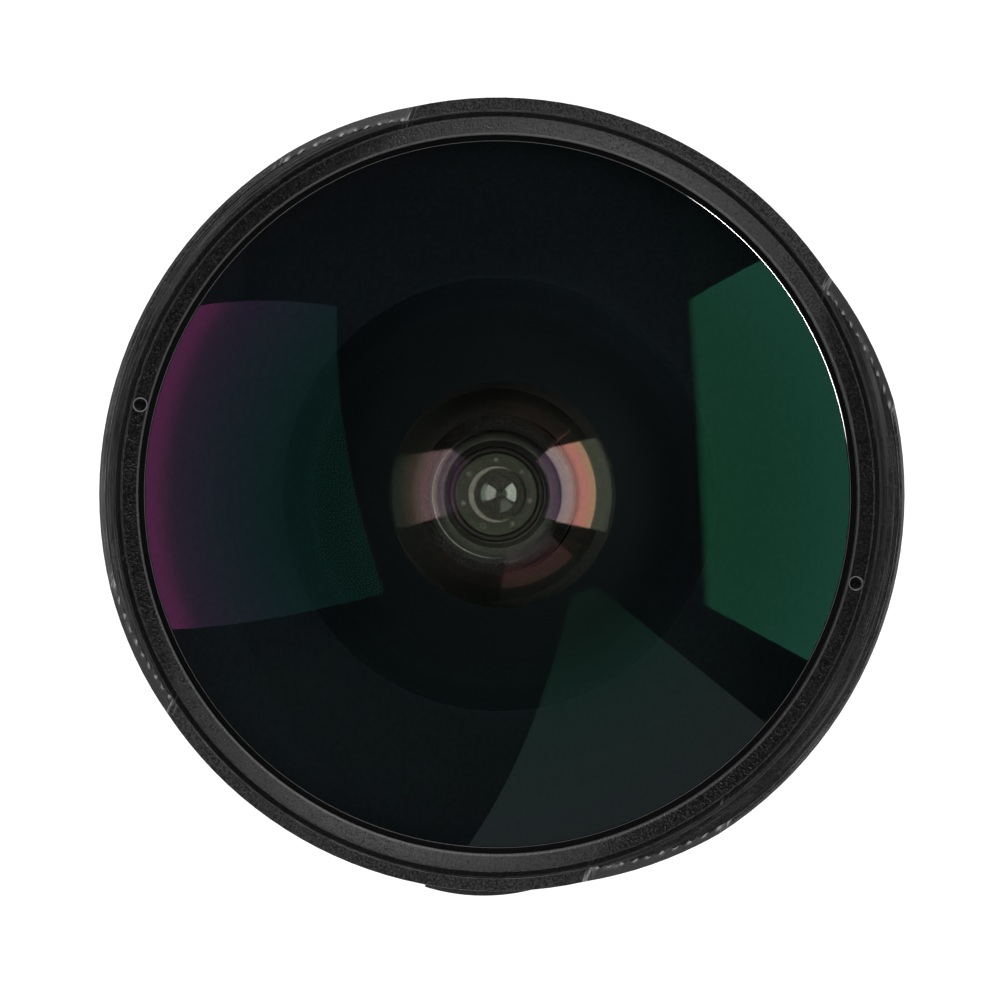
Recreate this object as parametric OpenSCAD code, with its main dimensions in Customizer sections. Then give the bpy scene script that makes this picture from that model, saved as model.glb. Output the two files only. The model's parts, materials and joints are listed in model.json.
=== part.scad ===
// Manual-focus fisheye lens with a short fixed petal hood, a helicoid and a seven-blade iris.
// Millimetres. The mount's flange face is at z = 0 and the optical axis is +Z, towards the front.
// +Y is up when the lens is on a camera, so the high petals stand at +Y and -Y.

/* [Mount] */
// Radius of the flange
flange_r = 31; // [30:0.1:32]
// Thickness of the flange
flange_t = 3; // [2.6:0.1:4]
// Outer radius of the bayonet tube
spigot_r = 21.6; // [21:0.1:22]
// Wall of the bayonet tube
spigot_wall = 2.2; // [1.6:0.1:2.6]
// Length of the bayonet tube behind the flange
spigot_len = 6.2; // [5.8:0.1:8]
// How far the lugs stand out of the tube
lug_out = 1.4; // [1:0.1:1.6]
// Thickness of a lug
lug_t = 1.6; // [1.2:0.1:2]
// Gap between the flange face and the lugs
lug_gap = 3.4; // [2.6:0.1:3.6]
// Width of a lug as an angle
lug_angle = 46; // [30:1:60]
// Distance of the flange screws from the flange's edge
mount_screw_rim = 3.6; // [3:0.1:4]

/* [Rear barrel] */
// Height of the rear barrel above the flange
rear_h = 14; // [13:0.1:18]
// Thickness of the rear barrel's floor
floor_t = 4; // [3.6:0.1:5]
// Wall of the rear barrel round the bearing
rear_wall = 1.5; // [1.3:0.1:2]
// Wall of the scale ring
scale_wall = 1.2; // [0.9:0.1:1.4]
// Height of the plain band behind the scale ring
base_h = 5; // [4:0.1:5.6]

/* [Focus] */
// Width of the focus ring
focus_w = 16.7; // [15:0.1:20]
// Wall of the focus ring at the bottom of its knurl
grip_wall = 2.4; // [2.2:0.1:3]
// Height of the knurl's ribs
rib_h = 0.8; // [0.4:0.1:1]
// Ribs round the focus ring
focus_ribs = 60; // [36:1:80]
// Turn of the focus ring from infinity to the near limit
focus_turn = 100; // [60:1:120]
// Place of the finger tab at infinity
tab_angle = 201.5; // [180:0.5:215]
// Reach of the finger tab from the axis
tab_reach = 40.5; // [39:0.1:42]
// Width of the finger tab
tab_w = 15; // [13:0.5:17]
// Length of the finger tab along the axis
tab_len = 8; // [7:0.5:9]

/* [Helicoid] */
// Outer radius of the turning sleeve
sleeve_r = 28; // [27.8:0.1:28.4]
// Wall of the turning sleeve
sleeve_wall = 2.9; // [2.6:0.1:3.2]
// Wall of the sliding carrier
carrier_wall = 2.5; // [2.3:0.1:2.6]
// Width of a guide key
key_w = 5; // [4:0.1:6]

/* [Aperture] */
// Width of the aperture ring
aperture_w = 8; // [8:0.1:10]
// Wall of the aperture ring at the bottom of its knurl
aperture_wall = 2.7; // [2.4:0.1:3.2]
// Ribs round the aperture ring
aperture_ribs = 48; // [30:1:60]
// Turn of the aperture ring from open to closed
aperture_turn = 42; // [30:1:42]
// Click stops on the aperture ring
click_stops = 7; // [5:1:8]
// Radius of the open iris
iris_open_r = 4.6; // [4.4:0.05:4.8]
// Width of a blade's band
blade_w = 2.3; // [2.2:0.05:2.4]
// Thickness of a blade
blade_t = 0.12; // [0.08:0.01:0.14]
// Turn of a blade from open to closed
blade_turn = 26.6; // [20:0.1:28]

/* [Front] */
// Outer radius of the front barrel, on which the aperture ring turns
barrel_r = 30.2; // [30:0.1:30.6]
// Wall of the hood at its foot, out to the slip-on cap's seat
hood_wall = 1.2; // [1.1:0.05:2]
// Height of the hood from its rear edge to its low stretches
hood_h = 12.7; // [12.4:0.1:14]
// Height of the petals above the low stretches
petal_h = 8; // [5:0.1:9]
// Half angle of a low stretch
low_half = 34.5; // [25:0.5:38]
// Angle over which a petal's end slopes
slope_deg = 20.5; // [12:0.5:24]
// Radius of the hood's inner wall at its foot
hood_in_r = 36.3; // [35.5:0.05:38]
// Pitch of the fine grooves inside the petals
groove_pitch = 0.5; // [0.4:0.05:0.8]
// Depth of the fine grooves
groove_depth = 0.16; // [0.08:0.02:0.2]

/* [Glass] */
// How far the front element's rim lies inside the hood's inner wall
glass_rim = 1.3; // [1.2:0.05:1.6]
// Curvature radius of the dome
dome_curve = 54; // [50:0.5:64]
// Thickness of the front element on the axis
front_glass_t = 3; // [2.4:0.1:4]
// Curvature radius of the front element's hollow
hollow_curve = 22; // [21.6:0.1:22.4]
// Width of the front ring's face
front_ring_w = 1.65; // [1.4:0.05:1.7]
// Thickness of the front ring
front_ring_t = 1.2; // [1:0.05:1.4]

/* [Hidden] */
$fn = 96;
// Sides of a polished lens surface
ball_fn = 300;

// Shared clearances
run = 0.05;      // radial clearance of a turning or sliding fit
seat = 0.02;     // clearance of a piece screwed or set in place
gap = 0.3;       // axial gap between rings that turn past each other
over = 1;        // how far a cutter runs past a face

// Heights along the optical axis
z_rear0 = flange_t;
z_floor = z_rear0 + floor_t;
z_scale = z_rear0 + base_h;
z_rear1 = z_rear0 + rear_h;
z_focus0 = z_rear1 + gap;
z_focus1 = z_focus0 + focus_w;
collar_t = 2.1;
collar_w = 2.3;
collar_gap = 0.6;
z_front0 = z_focus1 + collar_gap;
z_collar1 = z_front0 + collar_t;
z_ring0 = z_collar1 + gap;
z_ring1 = z_ring0 + aperture_w;
z_hood0 = z_ring1 + gap;
z_low = z_hood0 + hood_h;
z_high = z_low + petal_h;

// Hood's outside, and the cap's seat
hood_r = hood_in_r + hood_wall;
mount_screw_circle = flange_r - mount_screw_rim;

// Front glass and the ring that holds it
front_glass_r = hood_in_r - glass_rim;
ring_drop = 0.6;
seal_t = 0.7;
rim_t = 1.05;
z_face = z_low - ring_drop;
z_ring_foot = z_face - front_ring_t;
front_ring_lap = 0.75;
front_ring_r = front_glass_r + front_ring_lap;
front_ring_in = front_ring_r - front_ring_w;
seal_lip = 0.5;
seal_in = front_ring_in - seal_lip;
z_dome_edge = z_ring_foot - seal_t;
z_dome_centre = z_dome_edge - sqrt(pow(dome_curve, 2) - pow(front_ring_in, 2));
z_dome = z_dome_centre + dome_curve;
z_glass_back = dome_z(front_glass_r) - rim_t;
z_hollow = z_dome - front_glass_t;
function dome_z(r) = z_dome_centre + sqrt(pow(dome_curve, 2) - r * r);
function sag(curve, r) = curve - sqrt(curve * curve - r * r);

// Hood
floor_h = 3;
second_r = 17;
second_ring_w = 1.6;
second_ring_r = second_r + second_ring_w;
neck_wall = 1;
neck_r = second_ring_r + neck_wall;
z_hood_floor = z_glass_back - floor_h;
hood_flare_h = 5.7;
hood_foot_wall = 2.4;
hood_foot_r = barrel_r + hood_foot_wall;
hood_chamfer = 0.25;
petal_step = 0.1;
petal_r = hood_r - petal_step;
seat_drop = 0.4;
seat_top = z_low - seat_drop;
wall_flare = 0.55;

// Focus ring and helicoid
sleeve_gap = 3;
focus_bore = sleeve_r + sleeve_gap;
grip_r = focus_bore + grip_wall;
web_t = 3.4;
sleeve_in = sleeve_r - sleeve_wall;
carrier_r = sleeve_in - run;
carrier_in = carrier_r - carrier_wall;
carrier_mid = carrier_r - carrier_wall / 2;
shoulder = 1.2;
shoulder_t = 1.4;
pocket_r = sleeve_r + shoulder + gap;
bearing_t = 1.9;
z_pocket = z_rear1 - bearing_t - shoulder_t - 2 * run;
z_carrier0 = z_floor + 2;
key_h = 10;
barrel_out = pocket_r + rear_wall;
scale_r = barrel_out + scale_wall;
stop_r = 0.45;
stop_circle = (sleeve_r + gap + pocket_r) / 2;
stop_angle = 20;
stop_h = 3.4;
stop_floor = 0.4;  // metal left under the pin's hole
stop_rib_z = z_focus0 + 0.6;
stop_rib_h = 2.4;
stop_slack = 1.5;
z_tab = z_focus0 + focus_w / 2 - 1;
tab_inset = 0.6;
tab_foot_r = grip_r - tab_inset;

// Fasteners
screw_r = 1;
small_screw_r = 0.7;
screw_head_r = 1.9;
screw_head_h = 1.2;
small_head_r = 1.35;
small_head_h = 1;
head_drop = 0.2;   // how far a head or a set screw lies under its face
tip_gap = 0.2;     // how far a hole runs past a screw's tip
mount_bite = 3.2;
mount_screw_angles = [45, 135, 225, 315];
key_bite = 3.8;
key_angles = [60, 240];
key_screw_deg = 3.6;
set_bite = 1.1;    // how far a set screw reaches into the piece that it holds
scale_bite = 0.7;
scale_screw_angles = [30, 150, 270];
z_scale_screw = (z_scale + z_rear1) / 2;
set_angles = [40, 160, 280];
z_set = z_focus1 - web_t / 2;
tab_screw_y = screw_head_r + 0.9;
tab_head_drop = 2.6;
tab_bite = 1.5;
carrier_bite = 3.6;
carrier_screw_angles = [45, 135, 225, 315];
cell_bite = 1.8;
cell_screw_rim = 0.6;
cell_screw_angles = [0, 120, 240];
hood_screw_angles = [20, 140, 260];
z_hood_screw = z_hood0 + 1.8;
bead_r = 1.5;
bead_drop = 1;
bead_out = 0.5;

// Iris
blades = 7;
iris_phase = 24;
layer = blade_t + 0.08;
pin_r = 0.35;
hinge_run = 0.04;
slot_slack = 0.12;
blade_out = iris_open_r + blade_w;
pivot_circle = blade_out + pin_r + 0.15;
ear_r = pin_r + 0.4;
lever_deg = 26;
blade_span = 115;
blade_tail = 6;
plate_t = 0.9;
cam_t = 1.8;
cup_in = 14.1;
cup_wall = 1.5;
plate_r = cup_in - run;
cam_r = cup_in - 2 * run;
barrel_web_t = 2;
z_web = z_front0 + barrel_web_t;
cell_flange_t = 1.4;
z_iris = z_web + cell_flange_t;
z_blades = z_iris + plate_t + 0.1;
z_cam = z_blades + (blades - 1) * layer + blade_t + 0.18;
z_iris_front = z_cam + cam_t + 0.1;
iris_front_t = 0.6;
mask_lap = 0.7;
mask_r = iris_open_r - mask_lap;
z_cup = z_iris_front + iris_front_t;
function pivot_angle(i) = iris_phase + i * 360 / blades;
blade_ratio = blade_turn / aperture_turn;
drive_r = 0.5;
drive_angle = 300;
z_drive = z_cam + cam_t / 2;
drive_bite = 2.2;
drive_in = cam_r - drive_bite;
aperture_r = barrel_r + aperture_wall;
drive_skin = 0.8;
drive_out = aperture_r - drive_skin;

// Front cell and its glass
barrel_wall = 3.2;
bore_r = barrel_r - barrel_wall;
cell_screw_circle = bore_r - small_head_r - cell_screw_rim;
cell_seat_w = 1;
cell_bore_r = bore_r + cell_seat_w;
cell_flange_h = 3.1;
cell_shoulder = 3;
z_cell_step = z_hood_floor - cell_flange_h;
second_curve = 32;
second_hollow = 13;
second_t = 2;
second_rise = 3.9;
second_drop = 4.2;
z_second = z_glass_back + second_rise;
z_second_back = z_glass_back - second_drop;
third_r = 7.9;
third_front = 22;
third_rear = 40;
third_t = 4.7;
third_floor = 0.8;
third_ring_w = 1.1;
function second_z(r) = z_second - sag(second_curve, r);
function third_z(r) = z_third - sag(third_front, r);
third_seat_w = 0.9;
z_cell0 = z_cup + 2 * run;
z_third_seat = z_cell0 + third_floor;
z_third = z_third_seat + seat + third_t - sag(third_rear, third_r - third_seat_w);

// Rear cell and its glass
rear_glass_r = 8;
rear_ring_w = 0.5;
rear_wall_t = 5;
rear_bore = rear_glass_r + run;
fourth_drop = 1.4;
z_fourth = z_iris - fourth_drop;
fourth_curve = 15;
cement_curve = 13;
fourth_edge = 0.94;
fourth_t = sag(fourth_curve, rear_glass_r) + sag(cement_curve, rear_glass_r) + fourth_edge;
fifth_t = 1.2;
fifth_curve = 40;
air_a = 2.4;
sixth_front = 30;
sixth_rear = 25;
sixth_edge = 2;
sixth_t = sag(sixth_front, rear_glass_r) + sag(sixth_rear, rear_glass_r) + sixth_edge;
air_b = 2;
seventh_front = 60;
seventh_rear = 45;
seventh_edge = 1.95;
seventh_t = sag(seventh_front, rear_glass_r) + sag(seventh_rear, rear_glass_r) + seventh_edge;
spacer_w = 1;
ring_w = 1.7;
ring_t = 1.6;
z_cement = z_fourth - fourth_t;
z_fifth_back = z_cement - fifth_t;
z_sixth = z_fifth_back - air_a;
z_sixth_back = z_sixth - sixth_t;
z_seventh = z_sixth_back - air_b;
z_seventh_back = z_seventh - seventh_t;
spacer_in = rear_glass_r - spacer_w;
rear_ring_r = rear_glass_r + rear_ring_w;
rear_tube_r = rear_ring_r + rear_wall_t;
rear_ring_in = rear_ring_r - ring_w;
z_rear_ring = z_seventh_back + sag(seventh_rear, rear_ring_in) - seat;
z_rear_cell = z_rear_ring - ring_t - 0.4;

// Click stop
ball_r = 0.8;
ball_out = 0.35;
ball_angle = 200;
z_ball = z_ring1 - 1.6;
spring_h = 1.5;
ball_depth = 2 * ball_r - ball_out + spring_h;
click_step = aperture_turn / (click_stops - 1);
channel_r = barrel_r + ball_out + 0.1;

// A straight ring
module tube(outer, inner, z0, z1) {
  translate([0, 0, z0])
    difference() {
      cylinder(r = outer, h = z1 - z0);
      translate([0, 0, -over]) cylinder(r = inner, h = z1 - z0 + 2 * over);
    }
}

// A cylinder that lies along a radius, from one distance to another
module spoke(r, from, to, z, angle) {
  rotate([0, 0, angle]) translate([from, 0, z]) rotate([0, 90, 0]) cylinder(r = r, h = to - from);
}

// A piece of a ring with a square section, over an angle
module arc_block(inner, outer, z0, z1, from, turn) {
  rotate([0, 0, from]) rotate_extrude(angle = turn) translate([inner, z0]) square([outer - inner, z1 - z0]);
}

// A socket screw along +Z, with its head at the bottom
module screw_up(circle, angle, z_head, head, head_h, shaft, length) {
  rotate([0, 0, angle]) translate([circle, 0, z_head])
    difference() {
      union() {
        cylinder(r = head, h = head_h);
        cylinder(r = shaft, h = length);
      }
      translate([0, 0, -over]) cylinder(r = head * 0.5, h = over + head_h * 0.6, $fn = 6);
    }
}

// The same screw along -Z, with its head at the top
module screw_down(circle, angle, z_head, head, head_h, shaft, length) {
  translate([0, 0, z_head]) mirror([0, 0, 1]) screw_up(circle, angle, 0, head, head_h, shaft, length);
}

// A headless screw along a radius, with its socket outside
module set_screw(r, from, to, z, angle) {
  difference() {
    spoke(r, from, to, z, angle);
    rotate([0, 0, angle]) translate([to - r, 0, z]) rotate([0, 90, 0])
      cylinder(r = r * 0.5, h = r + over, $fn = 6);
  }
}

// Straight ribs round a ring, over its whole width
module ribs(count, root, height, z0, z1) {
  pitch = 360 / count;
  translate([0, 0, z0]) linear_extrude(z1 - z0)
    polygon([for (i = [0 : count - 1], p = [[0, 0], [0.12, height], [0.5, height], [0.62, 0]])
      let (a = (i + p[0]) * pitch) (root + p[1]) * [cos(a), sin(a)]]);
}

// A lens with two spherical faces, each bulging outwards
module biconvex(r, z_top, top_curve, z_bottom, bottom_curve) {
  intersection() {
    translate([0, 0, z_bottom]) cylinder(r = r, h = z_top - z_bottom);
    translate([0, 0, z_top - top_curve]) sphere(r = top_curve, $fn = ball_fn);
    translate([0, 0, z_bottom + bottom_curve]) sphere(r = bottom_curve, $fn = ball_fn);
  }
}

// A lens with a domed front, a hollow behind it and a flat rim round the hollow
module dished(r, z_top, top_curve, z_hollow_top, hollow, z_back) {
  difference() {
    intersection() {
      translate([0, 0, z_back]) cylinder(r = r, h = z_top - z_back);
      translate([0, 0, z_top - top_curve]) sphere(r = top_curve, $fn = ball_fn);
    }
    translate([0, 0, z_hollow_top - hollow]) sphere(r = hollow, $fn = ball_fn);
  }
}

// Bayonet flange, tube and three lugs, with a relief round the tube and a lock pin's hole
module mount_flange() {
  relief_r = spigot_r + lug_out + gap;
  relief_t = 0.4;
  lock_r = 1.5;
  lock_depth = 1.8;
  lock_angle = 210;
  lug_root = spigot_r - spigot_wall / 2;
  color("silver") {
    difference() {
      union() {
        cylinder(r = flange_r, h = flange_t);
        translate([0, 0, -spigot_len]) cylinder(r = spigot_r, h = spigot_len + flange_t / 2);
      }
      translate([0, 0, -spigot_len - over])
        cylinder(r = spigot_r - spigot_wall, h = spigot_len + flange_t + 2 * over);
      difference() {
        translate([0, 0, -over]) cylinder(r = relief_r, h = over + relief_t);
        translate([0, 0, -2 * over]) cylinder(r = spigot_r, h = 4 * over);
      }
      for (a = mount_screw_angles) rotate([0, 0, a]) translate([mount_screw_circle, 0, -over]) {
        cylinder(r = screw_r + seat, h = flange_t + 2 * over);
        cylinder(r = screw_head_r + seat, h = over + head_drop + screw_head_h);
      }
      rotate([0, 0, lock_angle]) translate([mount_screw_circle, 0, -over])
        cylinder(r = lock_r, h = over + lock_depth);
    }
    for (a = [0, 120, 240])
      arc_block(lug_root, spigot_r + lug_out, -lug_gap - lug_t, -lug_gap, a - lug_angle / 2, lug_angle);
  }
}

module mount_screws() {
  color("dimgray")
    for (a = mount_screw_angles)
      screw_up(mount_screw_circle, a, head_drop, screw_head_r, screw_head_h, screw_r,
        flange_t - head_drop + mount_bite);
}

// Raised red bead that marks the top of the mount
module index_bead() {
  color("firebrick") spoke(bead_r, scale_r - bead_drop, scale_r + bead_out, z_rear0 + base_h / 2, 90);
}

// Light trap inside the bayonet tube
module rear_baffle() {
  baffle_r = spigot_r - spigot_wall - seat;
  wall = 1;
  lip = 3;
  z_foot = -spigot_len + 0.6;
  color("black")
    rotate_extrude() polygon([
      [baffle_r - wall, z_foot], [baffle_r, z_foot], [baffle_r, flange_t],
      [baffle_r - lip, flange_t], [baffle_r - lip, flange_t - wall], [baffle_r - wall, flange_t - wall]
    ]);
}

// Fixed barrel: floor for the keys, bearing for the sleeve, pocket for the bearing ring
module rear_barrel() {
  floor_bore = carrier_in - 1.5;
  color("dimgray")
    difference() {
      union() {
        translate([0, 0, z_rear0]) cylinder(r = scale_r, h = base_h);
        translate([0, 0, z_rear0]) cylinder(r = barrel_out, h = rear_h);
      }
      translate([0, 0, z_rear0 - over]) cylinder(r = floor_bore, h = rear_h + 2 * over);
      translate([0, 0, z_floor]) cylinder(r = sleeve_r + run, h = rear_h);
      translate([0, 0, z_pocket]) cylinder(r = pocket_r, h = rear_h);
      for (a = mount_screw_angles) rotate([0, 0, a]) translate([mount_screw_circle, 0, z_rear0 - over])
        cylinder(r = screw_r + seat, h = over + mount_bite + tip_gap);
      for (k = key_angles, s = [-1, 1]) rotate([0, 0, k + s * key_screw_deg])
        translate([carrier_mid, 0, z_rear0 - over]) {
          cylinder(r = small_screw_r + seat, h = floor_t + 2 * over);
          cylinder(r = small_head_r + seat, h = over + small_head_h + head_drop);
        }
      spoke(bead_r + seat, scale_r - bead_drop, scale_r + over, z_rear0 + base_h / 2, 90);
      for (a = scale_screw_angles)
        spoke(screw_r + seat, barrel_out - scale_bite - tip_gap / 2, barrel_out + over, z_scale_screw, a);
    }
}

// Fixed sleeve that carries the index line
module scale_ring() {
  color("black")
    difference() {
      tube(scale_r, barrel_out + seat, z_scale, z_rear1);
      for (a = scale_screw_angles) spoke(screw_r + seat, barrel_out - over, scale_r + over, z_scale_screw, a);
    }
}

module scale_screws() {
  color("dimgray")
    for (a = scale_screw_angles)
      set_screw(screw_r, barrel_out - scale_bite, scale_r - head_drop, z_scale_screw, a);
}

// Ring that keeps the sleeve's shoulder in its pocket
module bearing_ring() {
  color("dimgray")
    difference() {
      tube(pocket_r - seat, sleeve_r + gap, z_rear1 - bearing_t, z_rear1);
      rotate([0, 0, stop_angle]) translate([stop_circle, 0, z_rear1 - bearing_t + stop_floor])
        cylinder(r = stop_r + seat, h = bearing_t);
    }
}

// Two keys that stop the carrier from turning
module guide_keys() {
  color("goldenrod")
    for (k = key_angles) rotate([0, 0, k])
      difference() {
        intersection() {
          tube(carrier_r - run, carrier_in + run, z_floor, z_floor + key_h);
          translate([0, -key_w / 2, z_floor]) cube([carrier_r, key_w, key_h]);
        }
        for (s = [-1, 1]) rotate([0, 0, s * key_screw_deg]) translate([carrier_mid, 0, z_floor - over])
          cylinder(r = small_screw_r + seat, h = over + key_bite + tip_gap);
      }
}

module key_screws() {
  color("silver")
    for (k = key_angles, s = [-1, 1])
      screw_up(carrier_mid, k + s * key_screw_deg, z_rear0 + head_drop, small_head_r, small_head_h,
        small_screw_r, floor_t - head_drop + key_bite);
}

// Pin that stops the focus ring at both ends of its turn
module stop_pin() {
  color("silver") rotate([0, 0, stop_angle]) translate([stop_circle, 0, z_rear1 - bearing_t + stop_floor])
    cylinder(r = stop_r, h = bearing_t - stop_floor + stop_h);
}

// Knurled focus ring with a web for the sleeve and a rib that meets the stop pin
module focus_ring() {
  stop_deg = asin((stop_r + gap) / stop_circle) + stop_slack;
  band = 3.2;
  color("black") {
    difference() {
      union() {
        translate([0, 0, z_focus0]) cylinder(r = grip_r, h = focus_w);
        ribs(focus_ribs, grip_r, rib_h, z_focus0 + 0.8, z_focus1 - band - 1.6);
      }
      translate([0, 0, z_focus0 - over]) cylinder(r = sleeve_r + seat, h = focus_w + 2 * over);
      difference() {
        translate([0, 0, z_focus0 - over]) cylinder(r = focus_bore, h = focus_w - web_t + over);
        arc_block(sleeve_r + gap, focus_bore + over, stop_rib_z, stop_rib_z + stop_rib_h,
          stop_angle + stop_deg, 360 - focus_turn - 2 * stop_deg);
      }
      for (a = set_angles) spoke(screw_r + seat, sleeve_r - over, grip_r + over, z_set, a);
      tab_pocket();
      for (s = [-1, 1]) tab_drill(s, screw_r + seat, focus_bore - over, grip_r + over);
    }
  }
}

// Flat-bottomed pocket in the ring under the tab
module tab_pocket() {
  rotate([0, 0, tab_angle]) translate([tab_foot_r, -tab_w / 2 - seat, z_tab - tab_len / 2 - seat])
    cube([tab_w, tab_w + 2 * seat, tab_len + 2 * seat]);
}

module tab_drill(side, r, from, to) {
  rotate([0, 0, tab_angle]) translate([from, side * tab_screw_y, z_tab])
    rotate([0, 90, 0]) cylinder(r = r, h = to - from);
}

// Finger tab with a curved crest and hollowed flanks
module focus_tab() {
  crest_r = 20;
  flank_r = 9;
  neck_w = tab_w - 4;
  color("black")
    difference() {
      intersection() {
        rotate([0, 0, tab_angle]) translate([tab_foot_r, -tab_w / 2, z_tab - tab_len / 2])
          cube([tab_reach, tab_w, tab_len]);
        rotate([0, 0, tab_angle]) translate([tab_reach - crest_r, 0, z_tab - tab_len / 2])
          cylinder(r = crest_r, h = tab_len);
      }
      rotate([0, 0, tab_angle]) for (s = [-1, 1])
        translate([(grip_r + rib_h + tab_reach) / 2, s * (neck_w / 2 + flank_r), z_tab - tab_len])
          cylinder(r = flank_r, h = 2 * tab_len);
      for (s = [-1, 1]) {
        tab_drill(s, screw_r + seat, tab_foot_r - over, tab_reach + over);
        tab_drill(s, screw_head_r + seat, tab_reach - tab_head_drop, tab_reach + over);
      }
    }
}

module tab_screws() {
  z_head = tab_reach - tab_head_drop;
  color("dimgray")
    for (s = [-1, 1])
      difference() {
        union() {
          tab_drill(s, screw_r, tab_foot_r - tab_bite, z_head);
          tab_drill(s, screw_head_r, z_head, z_head + screw_head_h);
        }
        rotate([0, 0, tab_angle]) translate([z_head + screw_head_h / 2, s * tab_screw_y, z_tab])
          rotate([0, 90, 0]) cylinder(r = screw_head_r / 2, h = screw_head_h, $fn = 6);
      }
}

// Turning sleeve: journal and shoulder in the rear barrel, inner thread as a plain bore
module helicoid_sleeve() {
  z_shoulder = z_pocket + run;
  color("goldenrod")
    difference() {
      union() {
        translate([0, 0, z_floor + gap]) cylinder(r = sleeve_r, h = z_focus1 - z_floor - gap);
        translate([0, 0, z_shoulder]) cylinder(r = sleeve_r + shoulder, h = shoulder_t);
      }
      translate([0, 0, z_floor - over]) cylinder(r = sleeve_in, h = focus_w + rear_h + 2 * over);
      for (a = set_angles)
        spoke(screw_r + seat, sleeve_r - set_bite - tip_gap / 2, sleeve_r + over, z_set, a);
    }
}

module focus_set_screws() {
  color("dimgray")
    for (a = set_angles) set_screw(screw_r, sleeve_r - set_bite, grip_r - head_drop, z_set, a);
}

// Sliding carrier with a slot for each key
module carrier_tube() {
  slot_h = key_h + 1;
  color("silver")
    difference() {
      tube(carrier_r, carrier_in, z_carrier0, z_front0);
      for (k = key_angles) rotate([0, 0, k])
        translate([0, -key_w / 2 - 2 * run, z_carrier0 - over])
          cube([carrier_r + over, key_w + 4 * run, slot_h + over]);
      for (a = carrier_screw_angles) rotate([0, 0, a])
        translate([carrier_mid, 0, z_front0 - carrier_bite - tip_gap])
          cylinder(r = small_screw_r + seat, h = carrier_bite + tip_gap + over);
    }
}

module carrier_screws() {
  color("dimgray")
    for (a = carrier_screw_angles)
      screw_down(carrier_mid, a, z_web - head_drop / 2, small_head_r, small_head_h, small_screw_r,
        barrel_web_t - head_drop / 2 + carrier_bite);
}

// Slot for the iris drive pin through a wall
module drive_slot(inner, outer, z_play) {
  slack = asin((drive_r + gap) / inner);
  arc_block(inner - over, outer + over, z_drive - drive_r - z_play, z_drive + drive_r + z_play,
    drive_angle - slack, aperture_turn + 2 * slack);
}

// Front barrel: collar, bearing for the aperture ring, web on the carrier, bore for the cells
module front_barrel() {
  color("dimgray")
    difference() {
      union() {
        translate([0, 0, z_front0]) cylinder(r = barrel_r + collar_w, h = collar_t);
        translate([0, 0, z_front0]) cylinder(r = barrel_r, h = z_hood_floor - z_front0);
      }
      translate([0, 0, z_front0 - over]) cylinder(r = carrier_in, h = 2 * over + collar_t);
      translate([0, 0, z_web]) cylinder(r = bore_r, h = z_hood_floor);
      translate([0, 0, z_cell_step]) cylinder(r = cell_bore_r, h = z_hood_floor);
      drive_slot(bore_r, barrel_r, gap);
      for (a = carrier_screw_angles) rotate([0, 0, a]) translate([carrier_mid, 0, z_front0 - over]) {
        cylinder(r = small_screw_r + seat, h = collar_t + 2 * over);
        translate([0, 0, over + barrel_web_t - small_head_h - head_drop / 2 - seat])
          cylinder(r = small_head_r + seat, h = 2 * over);
      }
      for (a = cell_screw_angles) rotate([0, 0, a]) translate([cell_screw_circle, 0, z_front0 - over])
        cylinder(r = small_screw_r + seat, h = collar_t + 2 * over);
      spoke(ball_r + run, barrel_r - ball_depth, barrel_r + over, z_ball, ball_angle);
      for (a = hood_screw_angles)
        spoke(screw_r + seat, barrel_r - set_bite - tip_gap / 2, barrel_r + over, z_hood_screw, a);
    }
}

// Petal hood: flared foot, floor for the front element, thread for its ring, grooved petals
module petal_hood() {
  groove_foot = z_low + 0.4;
  grooves = floor((z_high - hood_chamfer - groove_foot) / groove_pitch);
  y_low = hood_r * sin(low_half);
  y_high = hood_r * sin(low_half + slope_deg);
  function wall(z) = hood_in_r + wall_flare * (z - z_low) / petal_h;
  glass_bore = front_glass_r + run;
  thread_r = front_ring_r + run;
  thread_top = z_face - 0.9;
  glass_top = dome_z(front_glass_r) + 0.2;
  color("dimgray")
    difference() {
      rotate_extrude() polygon(concat(
        [
          [barrel_r + seat, z_hood0], [hood_foot_r - hood_chamfer, z_hood0],
          [hood_foot_r, z_hood0 + hood_chamfer], [hood_r, z_hood0 + hood_flare_h],
          [hood_r, seat_top], [petal_r, z_high - hood_chamfer],
          [petal_r - hood_chamfer, z_high], [wall(z_high), z_high]
        ],
        [for (i = [grooves - 1 : -1 : 0], p = [[1, 0], [0.5, groove_depth]])
          let (z = groove_foot + (i + p[0]) * groove_pitch) [wall(z) + p[1], z]],
        [
          [wall(groove_foot), groove_foot], [hood_in_r, z_low], [hood_in_r, thread_top],
          [thread_r, thread_top], [thread_r, glass_top],
          [glass_bore, glass_top], [glass_bore, z_glass_back], [neck_r + gap, z_glass_back],
          [neck_r + gap, z_hood_floor], [barrel_r + seat, z_hood_floor]
        ]
      ));
      rotate([90, 0, 90]) translate([0, 0, -2 * hood_r]) linear_extrude(4 * hood_r)
        polygon([[-y_low, z_low], [y_low, z_low], [y_high, z_high], [y_high, z_high + over],
          [-y_high, z_high + over], [-y_high, z_high]]);
      for (a = hood_screw_angles) spoke(screw_r + seat, barrel_r - over, hood_r + over, z_hood_screw, a);
    }
}

module hood_screws() {
  color("dimgray")
    for (a = hood_screw_angles) set_screw(screw_r, barrel_r - set_bite, hood_foot_r + 0.6, z_hood_screw, a);
}

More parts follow.
